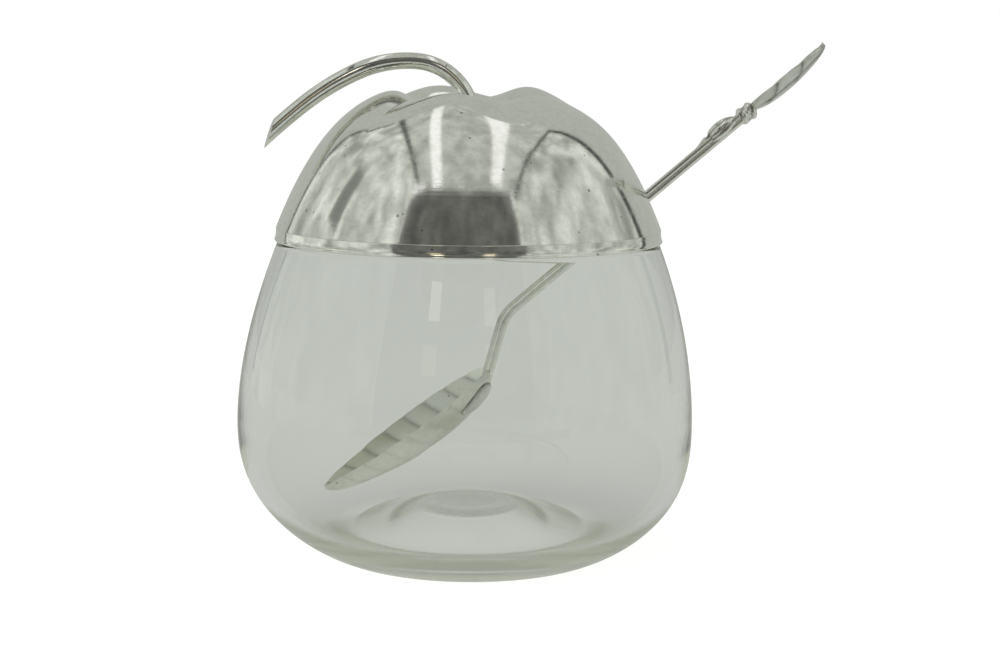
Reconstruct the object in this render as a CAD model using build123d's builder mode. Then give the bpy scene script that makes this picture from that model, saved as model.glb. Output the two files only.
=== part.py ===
from build123d import *
import os
from math import cos, exp, hypot, pi, radians, sin, sqrt, tan

# Honey pot: a blown glass bowl with a silver collar round its neck, a lobed silver lid hinged
# to the collar, a curved stem that lifts the lid, and a leaf spoon that leans in a slot.
# Millimetres, +Z up. The origin is the centre of the ring that the glass rests on.
# The front is -Y and the hinge is at +Y. An azimuth turns from the front towards +X.

# ---------------------------------------------------------------- glass bowl
foot_radius = 26.0          # outer edge of the resting ring
foot_ring = 2.2             # width of the resting ring
belly_radius = 50.2         # widest
belly_height = 30.8         # height of the widest ring
neck_step = 0.4             # the glass under the collar is this much smaller than the lid
neck_height = 69.7          # shoulder that the collar sits on
glass_wall = 2.1            # at the belly
neck_wall = 1.6             # under the collar
floor_radius = 22.0         # flat part of the inner floor
floor_thickness = 6.0
inner_belly_rise = 2.0      # the inside is widest this far above the outside's widest ring
foot_fullness = 2.54        # how far the outline stays full on its way down to the foot
foot_sharpness = 0.74       # how flat it leaves the belly
shoulder_power = 1.8        # how late it turns in towards the neck
lip_rise = 3.9              # the glass lip stands this far above the lid joint
lip_wall = 1.5              # thickness of the lip
lip_taper = 1.5             # the neck narrows this much from the joint to the lip
lip_round = 0.5             # height of the lip's rounded top
pontil_radius = 10.75       # ground disc under the bowl
pontil_height = 1.2         # its edge above the resting ring
pontil_dish = 0.7
pontil_fall = 0.2           # slope of the dish at its edge

# ---------------------------------------------------------------- collar and hinge
collar_height = 2.8         # visible silver band under the lid joint
collar_sheet = 1.0
collar_bulge = 0.35         # the band swells this far beyond the lid's edge
collar_swell_drop = 1.9     # its widest line lies this far below the joint
collar_lap = 0.35           # its lower edge laps this far beyond the glass
cement_gap = 0.3            # cement between the collar and the glass
knuckle_radius = 1.25
knuckle_length = 4.0
knuckle_gap = 0.15          # between neighbouring knuckles
hinge_gap = 0.25            # between a knuckle and the wall beside it
joint_play = 0.1            # a solder foot stops this far short of the lid joint
lid_gap = 0.1               # between the closed lid's lower edge and the collar
foot_height = 2.4           # how far a knuckle's solder foot reaches along its wall
foot_angle = 37.0           # degrees round the knuckle where the foot's outer face starts
foot_thickness = 1.0
pin_radius = 0.55
pin_running_clearance = 0.05
pin_head_radius = 0.85
pin_head_length = 0.35

# ---------------------------------------------------------------- lid
lid_radius = 41.7           # outer edge
lid_rise = 31.0             # height of the dome above its lower edge before it is dimpled
lid_power = 3.42            # how square the shoulder of the dome is
lid_sheet = 0.9
dimple_depth = 8.2          # the dome sinks to the stem like the top of an apple
dimple_reach = 12.4
dimple_power = 4.0
dimple_floor = 3.5          # radius at which the lobes start
seat_radius = 4.2           # disc that the stem stands on, let into the middle of the lid
seat_proud = 0.1            # it stands this far above and below the sheet round it
valley_depth = 1.7          # lowest line between two lobes, below their crests
valley_radius = 18.7        # where the valleys are deepest
valley_reach = 10.2
valley_fade = 4.0           # they fade out within this of the flat spot
valley_rim_power = 8.0      # how close to the rim they last, where they end
valley_azimuths = (23.0, 97.0, 163.5, 243.5, 312.5)
lobe_lifts = (-0.5, 0.8, 0.8, 0.1, 0.0)   # how far the lobe after each valley stands higher
valley_crease = 0.5         # share of a valley that is a crease: the rest is rounded
lobe_sections = 6           # spans that one lobe is lofted over
line_points = 12            # spans along one meridian of the lid
slot_azimuth = 92.5         # where the spoon leaves the lid
slot_inset = 2.4            # the lid's wall at the handle lies this far inside its rim
slot_width = 6.4
slot_clearance = 1.0        # above the spoon's handle

# ---------------------------------------------------------------- stem and its fixing
stem_base_x = 0.5
stem_lean = 5.75            # degrees from upright at its foot
stem_arcs = ((13.3, 80.4), (26.2, 28.6), (56.3, 30.0))   # bend radius and turn of each stretch
stem_foot_radius = 1.65
stem_crown_radius = 1.75
stem_tip_radius = 2.0
stem_reach = 44.2           # from its foot to the middle of its slanting end
stem_drop = 4.4             # the middle of its end lies this far below its foot
stem_cut_slope = 75.0       # degrees that the slanting end makes with the ground
stem_cut_turn = 12.0        # degrees that the slanting end faces the front
stem_boss_radius = 1.9
stem_boss_height = 0.9
stem_boss_taper = 10.0      # degrees
stud_radius = 1.1
stud_clearance = 0.1
stud_end = 0.6              # below the nut
washer_radius = 2.6
washer_thickness = 0.5
nut_across_flats = 4.2
nut_thickness = 1.8

# ---------------------------------------------------------------- spoon
spoon_yaw = -1.0            # degrees that the handle turns to the front as it leaves the pot
spoon_roll = 7.0            # degrees that the spoon's side plane leans
spoon_slope = 40.5          # degrees of the handle in that plane
seat_clearance = 0.4        # between the handle and the glass lip
stalk_radius = 0.72         # the handle is a bundle of four round stalks
stalk_rise = 0.54           # half their spacing in the side plane
stalk_spread = 0.75         # half their spacing across it
handle_outer = 28.0         # from the slot to the outer end
handle_leg_slope = 75.0     # degrees of the stretch from the bend inside the pot to the bowl
handle_bend = 9.0
handle_tuck = 6.2           # the handle runs this far down behind the bowl's rim
bowl_offset = 0.6           # the rim's end lies this far behind the handle's middle
bowl_slope = 41.5
tip_lift = 4.5              # the bowl's tip lies this far above the inner floor
tip_clearance = 2.4         # level gap between the tip and the glass
bowl_length = 48.8
bowl_half_width = 13.5
bowl_depth = 6.9
bowl_lobes = 9              # along each side of its edge
leaf_sheet = 0.9
leaf_sections = (0.03, 0.12, 0.25, 0.42, 0.6, 0.77, 0.9, 0.98)   # shares of a leaf's length
leaf_lean = 0.8             # under 1, a leaf is widest nearer its base
leaf_fullness = 0.7         # under 1, its ends are rounder than a sine wave
dish_fullness = 0.5         # the same for its depth
dish_least = 1.5            # its dish is at least this many sheets deep
scallop = 0.5               # how far each lobe of a leaf's edge swells
finial_start = 28.3         # along the handle from the slot
finial_length = 22.3
finial_half_width = 7.5
finial_depth = 2.5
finial_lobes = 7
finial_rise = 1.2           # its rim above the middle of the handle
knot_middle = 27.5          # along the handle from the slot
knot_half_length = 2.3
knot_radius = 2.7
bract_start = 14.0          # the leaf bud that clasps the handle
bract_length = 11.0
bract_radius = 2.15
bract_rise = 0.35
spindle_end = 0.5           # radius of the small flat ends of the knot and the bud
calyx_slope = 50.0
calyx_length = 11.5
calyx_half_width = 2.6
calyx_depth = 1.0
calyx_sheet = 0.6
calyx_lobes = 3

# ---------------------------------------------------------------- what follows from these
joint_height = neck_height + collar_height
neck_radius = lid_radius - neck_step
lid_foot = joint_height + lid_gap
collar_inner = lid_radius - collar_sheet
slot_radius = lid_radius - slot_inset
neck_outer = collar_inner - cement_gap
lip_top = joint_height + lip_rise
lip_outer = neck_outer - lip_taper
lip_inner = lip_outer - lip_wall
lip_middle = (lip_outer + lip_inner) / 2
lip_curve = lip_wall**2 / (8 * lip_round) + lip_round / 2      # radius of its rounded top
axis_y = lid_radius + collar_bulge + hinge_gap + knuckle_radius
knuckle_pitch = knuckle_length + knuckle_gap

# The handle rests on the lip's round top and crosses the lid's wall at the slot.
handle_half = stalk_rise + stalk_radius
handle_rise = tan(radians(spoon_slope))
seat_reach = (lip_curve + seat_clearance + handle_half) / cos(radians(spoon_slope))
spoon_height = lip_top - lip_curve + seat_reach + (slot_radius - lip_middle) * handle_rise
slot_turn = radians(slot_azimuth - 90)
slot_rise = spoon_height - lid_foot + handle_half / cos(radians(spoon_slope)) + slot_clearance
slot_plane = Plane(
    origin=(0, 0, lid_foot),
    x_dir=(-sin(slot_turn), cos(slot_turn), 0),
    z_dir=(cos(slot_turn), sin(slot_turn), 0),
)
yaw = radians(spoon_yaw)
roll = radians(spoon_roll)
spoon_plane = Plane(
    origin=(slot_radius * cos(slot_turn), slot_radius * sin(slot_turn), spoon_height),
    x_dir=(cos(yaw), sin(yaw), 0),
    z_dir=(sin(yaw) * cos(roll), -cos(yaw) * cos(roll), sin(roll)),
)


def dome(radius):
    """Height of a lobe's crest above the lid's lower edge at this radius."""
    plain = lid_rise * (1 - (radius / lid_radius) ** lid_power)
    return plain - dimple_depth * exp(-((radius / dimple_reach) ** dimple_power))


def valley_window(radius):
    """How strongly valleys and lobes show at this radius: up to 1, and 0 at the rim."""
    fade = 1 - exp(-(((radius - dimple_floor) / valley_fade) ** 2))
    rim = 1 - (radius / lid_radius) ** valley_rim_power
    return fade * rim * exp(-(((radius - valley_radius) / valley_reach) ** 2))


def lid_height(radius, share, lift):
    """Height of the lid above its lower edge, this share of the way across a lobe, from one
    valley to the next."""
    crest = sin(pi * share)
    fall = (1 - valley_crease) * (1 - crest**2) + valley_crease * (1 - crest)
    return dome(radius) + valley_window(radius) * (lift * (1 - fall) - valley_depth * fall)


def lid_wall(height):
    """Outer radius of the lid at this height above its lower edge, below its lobes."""
    return lid_radius * (1 - height / lid_rise) ** (1 / lid_power)


def meridian(share, lift):
    """Outer and inner points of the lid's sheet at one azimuth, from the rim to the dimple."""
    outer = []
    inner = []
    step = 0.01
    for index in range(line_points, -1, -1):
        reach = sin(pi / 2 * index / line_points)
        radius = dimple_floor + (lid_radius - dimple_floor) * reach
        height = lid_height(radius, share, lift)
        slope = (height - lid_height(radius - step, share, lift)) / step
        length = hypot(1, slope)
        if index == line_points:
            inner.append((radius - lid_sheet * hypot(1, 1 / slope), 0.0))
        else:
            inner.append((radius + lid_sheet * slope / length, height - lid_sheet / length))
        outer.append((radius, height))
    return outer, inner


def lower_radius(foot, belly, share):
    """Radius of the bowl at this share of the way up from its foot to its belly."""
    return foot + (belly - foot) * (1 - (1 - share) ** foot_fullness) ** foot_sharpness


def bowl_line(foot, belly, neck):
    """Points of the bowl's outline from its foot by its belly to its neck, each (radius, height).
    They crowd towards the foot, where the outline bends most."""
    crowding = 1.7
    below = 5
    above = 3
    line = []
    for index in range(below + 1):
        share = (index / below) ** crowding
        height = foot[1] + (belly[1] - foot[1]) * share
        line.append((lower_radius(foot[0], belly[0], share), height))
    for index in range(1, above + 1):
        share = index / above
        radius = belly[0] - (belly[0] - neck[0]) * share**shoulder_power
        line.append((radius, belly[1] + (neck[1] - belly[1]) * share))
    return line


def radial_plane(azimuth):
    """Upright plane through the axis: local X points outwards at this azimuth, and local Y up
    from the lid's lower edge."""
    turn = radians(azimuth - 90)
    return Plane(
        origin=(0, 0, lid_foot),
        x_dir=(cos(turn), sin(turn), 0),
        z_dir=(sin(turn), -cos(turn), 0),
    )


# ================================================================ glass bowl
outer_line = bowl_line((foot_radius, 0), (belly_radius, belly_height), (neck_radius, neck_height))
inner_line = bowl_line(
    (floor_radius, floor_thickness),
    (belly_radius - glass_wall, belly_height + inner_belly_rise),
    (neck_radius - neck_wall, neck_height),
)
ring_inner = foot_radius - foot_ring
with BuildPart() as glass_bowl:
    with BuildSketch(Plane.XZ):
        with BuildLine():
            dish_top = pontil_height + pontil_dish
            pontil_edge = (pontil_radius, pontil_height)
            Spline((0, dish_top), pontil_edge, tangents=((1, 0), (1, -pontil_fall)))
            Line(pontil_edge, (ring_inner, 0))
            Line((ring_inner, 0), (foot_radius, 0))
            Spline(*outer_line)
            Polyline(
                (neck_radius, neck_height),
                (neck_outer, neck_height),
                (neck_outer, joint_height),
                (lip_outer, lip_top - lip_round),
            )
            ThreePointArc(
                (lip_outer, lip_top - lip_round),
                (lip_middle, lip_top),
                (lip_inner, lip_top - lip_round),
            )
            Line((lip_inner, lip_top - lip_round), inner_line[-1])
            Spline(*inner_line)
            Line((floor_radius, floor_thickness), (0, floor_thickness))
            Line((0, floor_thickness), (0, dish_top))
        make_face()
    revolve(axis=Axis.Z)

# ================================================================ neck collar and its cement
with BuildPart() as neck_collar:
    with BuildSketch(Plane.XZ):
        with BuildLine():
            band_lap = (neck_radius + collar_lap, neck_height)
            Line((collar_inner, neck_height), (collar_inner, joint_height))
            Line((collar_inner, joint_height), (lid_radius, joint_height))
            Spline(
                (lid_radius, joint_height),
                (lid_radius + collar_bulge, joint_height - collar_swell_drop),
                band_lap,
            )
            Line(band_lap, (collar_inner, neck_height))
        make_face()
    revolve(axis=Axis.Z)

with BuildPart() as collar_cement:
    with BuildSketch(Plane.XZ):
        with Locations(((neck_outer + collar_inner) / 2, (neck_height + joint_height) / 2)):
            Rectangle(cement_gap, collar_height)
    revolve(axis=Axis.Z)

# ================================================================ lid shell
# Each lobe is lofted from valley to valley through meridian sections of the sheet.
seat_top = lid_foot + dome(dimple_floor) + seat_proud
seat_thickness = lid_sheet + 2 * seat_proud
with BuildPart() as lid_shell:
    for number, start in enumerate(valley_azimuths):
        stop = valley_azimuths[(number + 1) % len(valley_azimuths)]
        span = (stop - start) % 360
        for index in range(lobe_sections + 1):
            share = index / lobe_sections
            outer, inner = meridian(share, lobe_lifts[number])
            with BuildSketch(radial_plane(start + span * share)):
                with BuildLine():
                    Spline(*outer)
                    Line(outer[-1], inner[-1])
                    Spline(*reversed(inner))
                    Line(inner[0], outer[0])
                make_face()
        loft()
    with BuildSketch(Plane.XY.offset(seat_top)):
        Circle(seat_radius)
    extrude(amount=-seat_thickness)
    with Locations((stem_base_x, 0, seat_top)):
        Hole(stud_radius + stud_clearance, depth=2 * seat_thickness)
    # the spoon's slot has a round top and is open at the lid's lower edge
    with BuildSketch(slot_plane):
        with Locations((0, slot_rise - slot_width / 2)):
            Circle(slot_width / 2)
        with Locations((0, (slot_rise - slot_width) / 2)):
            Rectangle(slot_width, slot_rise)
    extrude(amount=lid_radius + collar_bulge, mode=Mode.SUBTRACT)


# ================================================================ hinge
def hinge_knuckle(middle, side, bore, root, neighbour):
    """One knuckle centred at this X, with a solder foot cut to fit its neighbour: side is 1 for
    a foot above the lid joint and -1 below it. The foot starts inside the neighbour's sheet, at
    one radius by the joint and at another by its end."""
    foot_end = joint_height + side * foot_height
    foot_start = joint_height + side * joint_play
    lean = radians(foot_angle)
    face_start = (axis_y + knuckle_radius * cos(lean), joint_height + side * knuckle_radius * sin(lean))
    with BuildPart() as knuckle:
        with BuildSketch(Plane.YZ.offset(middle - knuckle_length / 2)):
            with BuildLine():
                Polyline(
                    face_start,
                    (root[1] + foot_thickness, foot_end),
                    (root[1], foot_end),
                    (root[0], foot_start),
                    (axis_y, foot_start),
                    close=True,
                )
            make_face()
            with Locations((axis_y, joint_height)):
                Circle(knuckle_radius)
                Circle(bore, mode=Mode.SUBTRACT)
        extrude(amount=knuckle_length)
        add(neighbour, mode=Mode.SUBTRACT)
    return knuckle


band_root = (collar_inner + collar_sheet / 2, collar_inner + collar_sheet / 2)
lid_root = (lid_radius - lid_sheet / 2, lid_wall(foot_height) - lid_sheet / 2)
lid_bore = pin_radius + pin_running_clearance
hinge_knuckle_left = hinge_knuckle(-knuckle_pitch, -1, pin_radius, band_root, neck_collar.part)
hinge_knuckle_right = hinge_knuckle(knuckle_pitch, -1, pin_radius, band_root, neck_collar.part)
hinge_knuckle_lid = hinge_knuckle(0, 1, lid_bore, lid_root, lid_shell.part)

pin_half = knuckle_pitch + knuckle_length / 2
with BuildPart() as hinge_pin:
    with BuildSketch(Plane.YZ.offset(-pin_half)):
        with Locations((axis_y, joint_height)):
            Circle(pin_radius)
    extrude(amount=2 * pin_half)
    for side in (-1, 1):
        with BuildSketch(Plane.YZ.offset(side * pin_half)):
            with Locations((axis_y, joint_height)):
                Circle(pin_head_radius)
        extrude(amount=side * pin_head_length)
    rims = hinge_pin.edges().filter_by(GeomType.CIRCLE).group_by(Axis.X)
    fillet(rims[0] + rims[-1], pin_head_length / 2)

# ================================================================ stem and its fixing
cut_slope = radians(stem_cut_slope)
cut_turn = radians(stem_cut_turn)
stem_end = Plane(
    origin=(stem_base_x - stem_reach, 0, seat_top - stem_drop),
    x_dir=(cos(cut_slope), 0, sin(cut_slope)),
    z_dir=(
        -sin(cut_slope) * cos(cut_turn),
        -sin(cut_turn),
        cos(cut_slope) * cos(cut_turn),
    ),
)
with BuildPart() as stem_handle:
    with BuildLine(Plane.XZ) as stem_path:
        heading = radians(90 + stem_lean)
        start = (stem_base_x, seat_top + stem_boss_height / 2)
        rise = JernArc(start, (cos(heading), sin(heading)), *stem_arcs[0])
        crown = JernArc(rise @ 1, rise % 1, *stem_arcs[1])
        JernArc(crown @ 1, crown % 1, *stem_arcs[2])
    for share, radius in ((0, stem_foot_radius), (0.5, stem_crown_radius), (1, stem_tip_radius)):
        with BuildSketch(Plane(stem_path.line @ share, z_dir=stem_path.line % share)):
            Circle(radius)
    sweep(path=stem_path.line, multisection=True)
    split(bisect_by=stem_end, keep=Keep.BOTTOM)
    with BuildSketch(Plane.XY.offset(seat_top)):
        with Locations((stem_base_x, 0)):
            Circle(stem_boss_radius)
    extrude(amount=stem_boss_height, taper=stem_boss_taper)
    with BuildSketch(Plane.XY.offset(seat_top)):
        with Locations((stem_base_x, 0)):
            Circle(stud_radius)
    extrude(amount=-(seat_thickness + washer_thickness + nut_thickness + stud_end))

washer_top = seat_top - seat_thickness
with BuildPart() as stem_washer:
    with BuildSketch(Plane.XY.offset(washer_top)):
        with Locations((stem_base_x, 0)):
            Circle(washer_radius)
            Circle(stud_radius + stud_clearance, mode=Mode.SUBTRACT)
    extrude(amount=-washer_thickness)

with BuildPart() as stem_nut:
    with BuildSketch(Plane.XY.offset(washer_top - washer_thickness)):
        with Locations((stem_base_x, 0)):
            RegularPolygon(nut_across_flats / 2, 6, major_radius=False)
            Circle(stud_radius, mode=Mode.SUBTRACT)
    extrude(amount=-nut_thickness)


# ================================================================ spoon
def swell(share, fullness):
    """How full a leaf is at this share of its length: 0 at its base and its tip."""
    return abs(sin(pi * share**leaf_lean)) ** fullness


def scalloped(last, here, side):
    """Middle of one swelling lobe of a leaf's edge."""
    length = hypot(here[0] - last[0], here[1] - last[1])
    out_x = -side * (here[1] - last[1]) / length * scallop
    out_y = side * (here[0] - last[0]) / length * scallop
    return (last[0] + here[0]) / 2 + out_x, (last[1] + here[1]) / 2 + out_y


def leaf(base, slope, length, half_width, depth, sheet, lobes):
    """A dished leaf in the spoon's side plane, from its base along this slope to its tip."""
    turn = radians(slope)
    along = spoon_plane.x_dir * cos(turn) + spoon_plane.y_dir * sin(turn)
    rim = Plane(origin=spoon_plane.from_local_coords(base), x_dir=along, z_dir=spoon_plane.z_dir)
    up = -rim.y_dir if rim.y_dir.Z < 0 else rim.y_dir
    across = spoon_plane.z_dir
    with BuildPart() as blade:
        for share in leaf_sections:
            wide = half_width * swell(share, leaf_fullness) + scallop
            deep = max(depth * swell(share, dish_fullness), dish_least * sheet)
            middle = rim.origin + along * length * share
            with BuildSketch(Plane(origin=middle, x_dir=across, z_dir=across.cross(up))):
                with BuildLine():
                    edge = min(sheet, wide / 2)
                    ThreePointArc((-wide, 0), (0, -deep), (wide, 0))
                    Line((wide, 0), (wide - edge, 0))
                    ThreePointArc((wide - edge, 0), (0, sheet - deep), (edge - wide, 0))
                    Line((edge - wide, 0), (-wide, 0))
                make_face()
        loft()
        # the lobed outline of its edge
        with BuildSketch(Plane(origin=rim.origin, x_dir=along, z_dir=up)):
            with BuildLine():
                for side in (-1, 1):
                    last = (0, 0)
                    for index in range(1, lobes + 1):
                        share = index / lobes
                        here = (length * share, side * half_width * swell(share, leaf_fullness))
                        ThreePointArc(last, scalloped(last, here, side), here)
                        last = here
            make_face()
        extrude(amount=2 * depth, both=True, mode=Mode.INTERSECT)
    return blade


def on_handle(distance, offset=0.0):
    """Point of the side plane this far along the handle from the slot, and this far above it."""
    turn = radians(spoon_slope)
    return (
        distance * cos(turn) - offset * sin(turn),
        distance * sin(turn) + offset * cos(turn),
    )


slope = radians(spoon_slope)
leg = radians(handle_leg_slope)
dip = radians(bowl_slope)
handle_direction = spoon_plane.x_dir * cos(slope) + spoon_plane.y_dir * sin(slope)

# Where the bowl's tip lies, low in the pot and near the glass, in the side plane
tip_y = (floor_thickness + tip_lift - spoon_height) / spoon_plane.y_dir.Z
tip_share = tip_lift / (belly_height + inner_belly_rise - floor_thickness)
tip_radius = lower_radius(floor_radius, belly_radius - glass_wall, tip_share) - tip_clearance
level = spoon_plane.from_local_coords((0, tip_y))
run = spoon_plane.x_dir
nearest = level.X * run.X + level.Y * run.Y
tip_x = -nearest - sqrt(nearest**2 - level.X**2 - level.Y**2 + tip_radius**2)

# Lengths of the handle inside the pot and of its leg that bring the tip there
blade = bowl_length * leaf_sections[-1]
across = -tip_x - bowl_offset * sin(leg) - blade * cos(dip)
down = -tip_y + bowl_offset * cos(leg) - blade * sin(dip)
handle_inner = (across * sin(leg) - down * cos(leg)) / sin(leg - slope)
bowl_reach = (down * cos(slope) - across * sin(slope)) / sin(leg - slope)

bend = on_handle(-handle_inner)
leg_end = (
    bend[0] - (bowl_reach + handle_tuck) * cos(leg),
    bend[1] - (bowl_reach + handle_tuck) * sin(leg),
)
bowl_base = (
    bend[0] - bowl_reach * cos(leg) - bowl_offset * sin(leg),
    bend[1] - bowl_reach * sin(leg) + bowl_offset * cos(leg),
)
spoon_bowl = leaf(
    bowl_base, bowl_slope + 180, bowl_length, bowl_half_width, bowl_depth, leaf_sheet, bowl_lobes
)

with BuildPart() as spoon_handle:
    with BuildLine(spoon_plane) as handle_path:
        FilletPolyline(on_handle(handle_outer), bend, leg_end, radius=handle_bend)
    with BuildSketch(
        Plane(origin=handle_path.line @ 0, x_dir=spoon_plane.z_dir, z_dir=handle_path.line % 0)
    ):
        with GridLocations(2 * stalk_spread, 2 * stalk_rise, 2, 2):
            Circle(stalk_radius)
        Rectangle(2 * stalk_spread, 2 * stalk_rise)
    sweep(path=handle_path.line)
    add(spoon_bowl.part, mode=Mode.SUBTRACT)


def handle_spindle(middle, half_length, radius, rise):
    """A swelling round the handle, pierced by it."""
    lengthwise = Plane(
        origin=spoon_plane.from_local_coords(on_handle(middle, rise)),
        x_dir=handle_direction,
        z_dir=spoon_plane.z_dir,
    )
    with BuildPart() as spindle:
        with BuildSketch(lengthwise):
            with BuildLine():
                end = (half_length, spindle_end)
                start = (-half_length, spindle_end)
                ThreePointArc(start, (0, radius), end)
                Polyline(end, (half_length, 0), (-half_length, 0), start)
            make_face()
        revolve(axis=Axis(lengthwise.origin, handle_direction))
        add(spoon_handle.part, mode=Mode.SUBTRACT)
    return spindle


spoon_knot = handle_spindle(knot_middle, knot_half_length, knot_radius, 0)
spoon_bract = handle_spindle(
    bract_start + bract_length / 2, bract_length / 2, bract_radius, bract_rise
)

finial = leaf(
    on_handle(finial_start, finial_rise),
    spoon_slope,
    finial_length,
    finial_half_width,
    finial_depth,
    leaf_sheet,
    finial_lobes,
)
with BuildPart() as spoon_leaf:
    add(finial.part)
    add(spoon_knot.part, mode=Mode.SUBTRACT)
    add(spoon_handle.part, mode=Mode.SUBTRACT)

calyx = leaf(
    bowl_base,
    calyx_slope + 180,
    calyx_length,
    calyx_half_width,
    calyx_depth,
    calyx_sheet,
    calyx_lobes,
)
with BuildPart() as spoon_calyx:
    add(calyx.part)
    add(spoon_bowl.part, mode=Mode.SUBTRACT)
    add(spoon_handle.part, mode=Mode.SUBTRACT)

# ================================================================ files
pieces = {
    "glass_bowl": glass_bowl,
    "neck_collar": neck_collar,
    "collar_cement": collar_cement,
    "hinge_knuckle_left": hinge_knuckle_left,
    "hinge_knuckle_right": hinge_knuckle_right,
    "hinge_knuckle_lid": hinge_knuckle_lid,
    "hinge_pin": hinge_pin,
    "lid_shell": lid_shell,
    "stem_handle": stem_handle,
    "stem_washer": stem_washer,
    "stem_nut": stem_nut,
    "spoon_handle": spoon_handle,
    "spoon_bowl": spoon_bowl,
    "spoon_leaf": spoon_leaf,
    "spoon_knot": spoon_knot,
    "spoon_bract": spoon_bract,
    "spoon_calyx": spoon_calyx,
}
os.makedirs("parts", exist_ok=True)
for name, piece in pieces.items():
    piece.part.label = name
    export_step(piece.part, f"parts/{name}.step")
    print(name, len(piece.solids()), round(piece.part.volume, 1))
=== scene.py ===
# %% [markdown]
# # Honey pot with a hinged lid
# A blown glass bowl, a lobed silver lid that hinges on the collar, a curved stem to lift it by
# and a leaf spoon that leans out through a slot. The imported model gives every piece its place.
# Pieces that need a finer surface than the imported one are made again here, in the same space,
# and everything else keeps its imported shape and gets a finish.

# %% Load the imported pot
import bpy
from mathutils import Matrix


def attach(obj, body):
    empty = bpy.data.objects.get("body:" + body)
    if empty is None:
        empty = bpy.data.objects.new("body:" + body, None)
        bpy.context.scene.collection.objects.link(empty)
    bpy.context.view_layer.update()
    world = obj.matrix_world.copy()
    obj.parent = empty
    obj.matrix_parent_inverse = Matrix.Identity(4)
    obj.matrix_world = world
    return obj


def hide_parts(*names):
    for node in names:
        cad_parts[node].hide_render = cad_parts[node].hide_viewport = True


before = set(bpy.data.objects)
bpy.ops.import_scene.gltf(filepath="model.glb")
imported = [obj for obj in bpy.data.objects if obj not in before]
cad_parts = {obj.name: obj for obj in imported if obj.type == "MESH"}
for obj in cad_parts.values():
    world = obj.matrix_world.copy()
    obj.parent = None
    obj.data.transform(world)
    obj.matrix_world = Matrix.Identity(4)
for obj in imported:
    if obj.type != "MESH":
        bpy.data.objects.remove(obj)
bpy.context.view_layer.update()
print("pieces in the frame:", len(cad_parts))

# %% [markdown]
# ## Camera
# The pot is looked down on a little, from half a metre in front of it. A long lens keeps the
# bowl's outline calm, as in a catalogue picture. The camera is turned to bring the pot into the
# picture, and it isn't shifted, so that it can be moved round the pot without losing it.

# %% Place the camera
import bpy
from math import cos, exp, hypot, pi, radians, sin, sqrt, tan
from mathutils import Vector

mm = 0.001
picture_width = 1000
focal_in_pixels = 2345.9
camera_data = bpy.data.cameras.new("pot_camera")
camera_data.sensor_width = 36.0
camera_data.lens = focal_in_pixels * camera_data.sensor_width / picture_width
camera = bpy.data.objects.new("pot_camera", camera_data)
camera.location = (-0.19 * mm, -508.13 * mm, 118.04 * mm)
look_down = 7.666
look_right = 0.811
camera_lean = 0.545
camera.rotation_euler = (radians(90 - look_down), 0, radians(-look_right))
camera.rotation_euler.rotate_axis("Z", radians(camera_lean))
bpy.context.scene.collection.objects.link(camera)
bpy.context.scene.camera = camera
bpy.context.scene.view_settings.view_transform = "Standard"
print("lens", round(camera_data.lens, 2), "mm")

# %% [markdown]
# ## Light that goes on through the glass
# In a thick glass bowl a ray of light turns back and forth between the walls many times. A path
# that is cut off early turns black, and leaves a dark band low in the bowl that clear glass
# doesn't have, so these paths may be long.

# %% Allow long light paths
paths = bpy.context.scene.cycles
path_limit = 48
for kind in ("max_bounces", "glossy_bounces", "transmission_bounces", "transparent_max_bounces"):
    setattr(paths, kind, path_limit)
print("bounces", paths.max_bounces)

# %% [markdown]
# ## Small helpers for node trees
# Finishes and geometry trees are both chains of nodes. A few helpers keep the cells readable:
# one adds a node and fills its inputs, two do arithmetic on numbers and vectors, and the rest
# make a noise pattern, map a range, mix two colours and start or close a material.

# %% Helper that adds a node
def add_node(tree, kind, settings=None, **inputs):
    """Add a node. Inputs are named in lower case, with _ for a space, or in_N for the Nth: a
    value or a socket."""
    node = tree.nodes.new(kind)
    for name, value in (settings or {}).items():
        setattr(node, name, value)
    for name, value in inputs.items():
        if name.startswith("in_"):
            socket = node.inputs[int(name[3:])]
        else:
            wanted = name.replace("_", " ")
            matches = [s for s in node.inputs if s.enabled and s.name.lower() == wanted]
            if not matches:
                raise ValueError(f"{kind} has no input {name}")
            socket = matches[0]
        if isinstance(value, bpy.types.NodeSocket):
            tree.links.new(value, socket)
        else:
            socket.default_value = value
    return node


print("node helper ready")

# %% Arithmetic with nodes
def arithmetic(tree, operation, first, second=0.0, third=None):
    """One Math node's output."""
    inputs = {"in_0": first, "in_1": second}
    if third is not None:
        inputs["in_2"] = third
    return add_node(tree, "ShaderNodeMath", {"operation": operation}, **inputs).outputs[0]


def vectors(tree, operation, first, **others):
    """One Vector Math node's first output."""
    node = add_node(tree, "ShaderNodeVectorMath", {"operation": operation}, in_0=first, **others)
    return node.outputs[0]


print("arithmetic ready")

# %% Helpers for patterns
def grain(tree, place, scale, detail=4.0, roughness=0.6, distortion=0.0):
    """A noise pattern's grey value. Its scale is in waves per metre."""
    node = add_node(
        tree, "ShaderNodeTexNoise", vector=place, scale=scale, detail=detail,
        roughness=roughness, distortion=distortion,
    )
    return node.outputs[0]


def span(tree, value, low, high, low_result=0.0, high_result=1.0):
    """Map a value's range to another, softly at both ends."""
    node = add_node(
        tree, "ShaderNodeMapRange", {"interpolation_type": "SMOOTHSTEP"}, value=value,
        from_min=low, from_max=high, to_min=low_result, to_max=high_result,
    )
    return node.outputs[0]


def blend_colour(tree, share, first, second):
    """Mix two colours, each a socket or four numbers."""
    node = tree.nodes.new("ShaderNodeMix")
    node.data_type = "RGBA"
    for index, value in ((0, share), (6, first), (7, second)):
        if isinstance(value, bpy.types.NodeSocket):
            tree.links.new(value, node.inputs[index])
        else:
            node.inputs[index].default_value = value
    return node.outputs[2]


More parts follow.
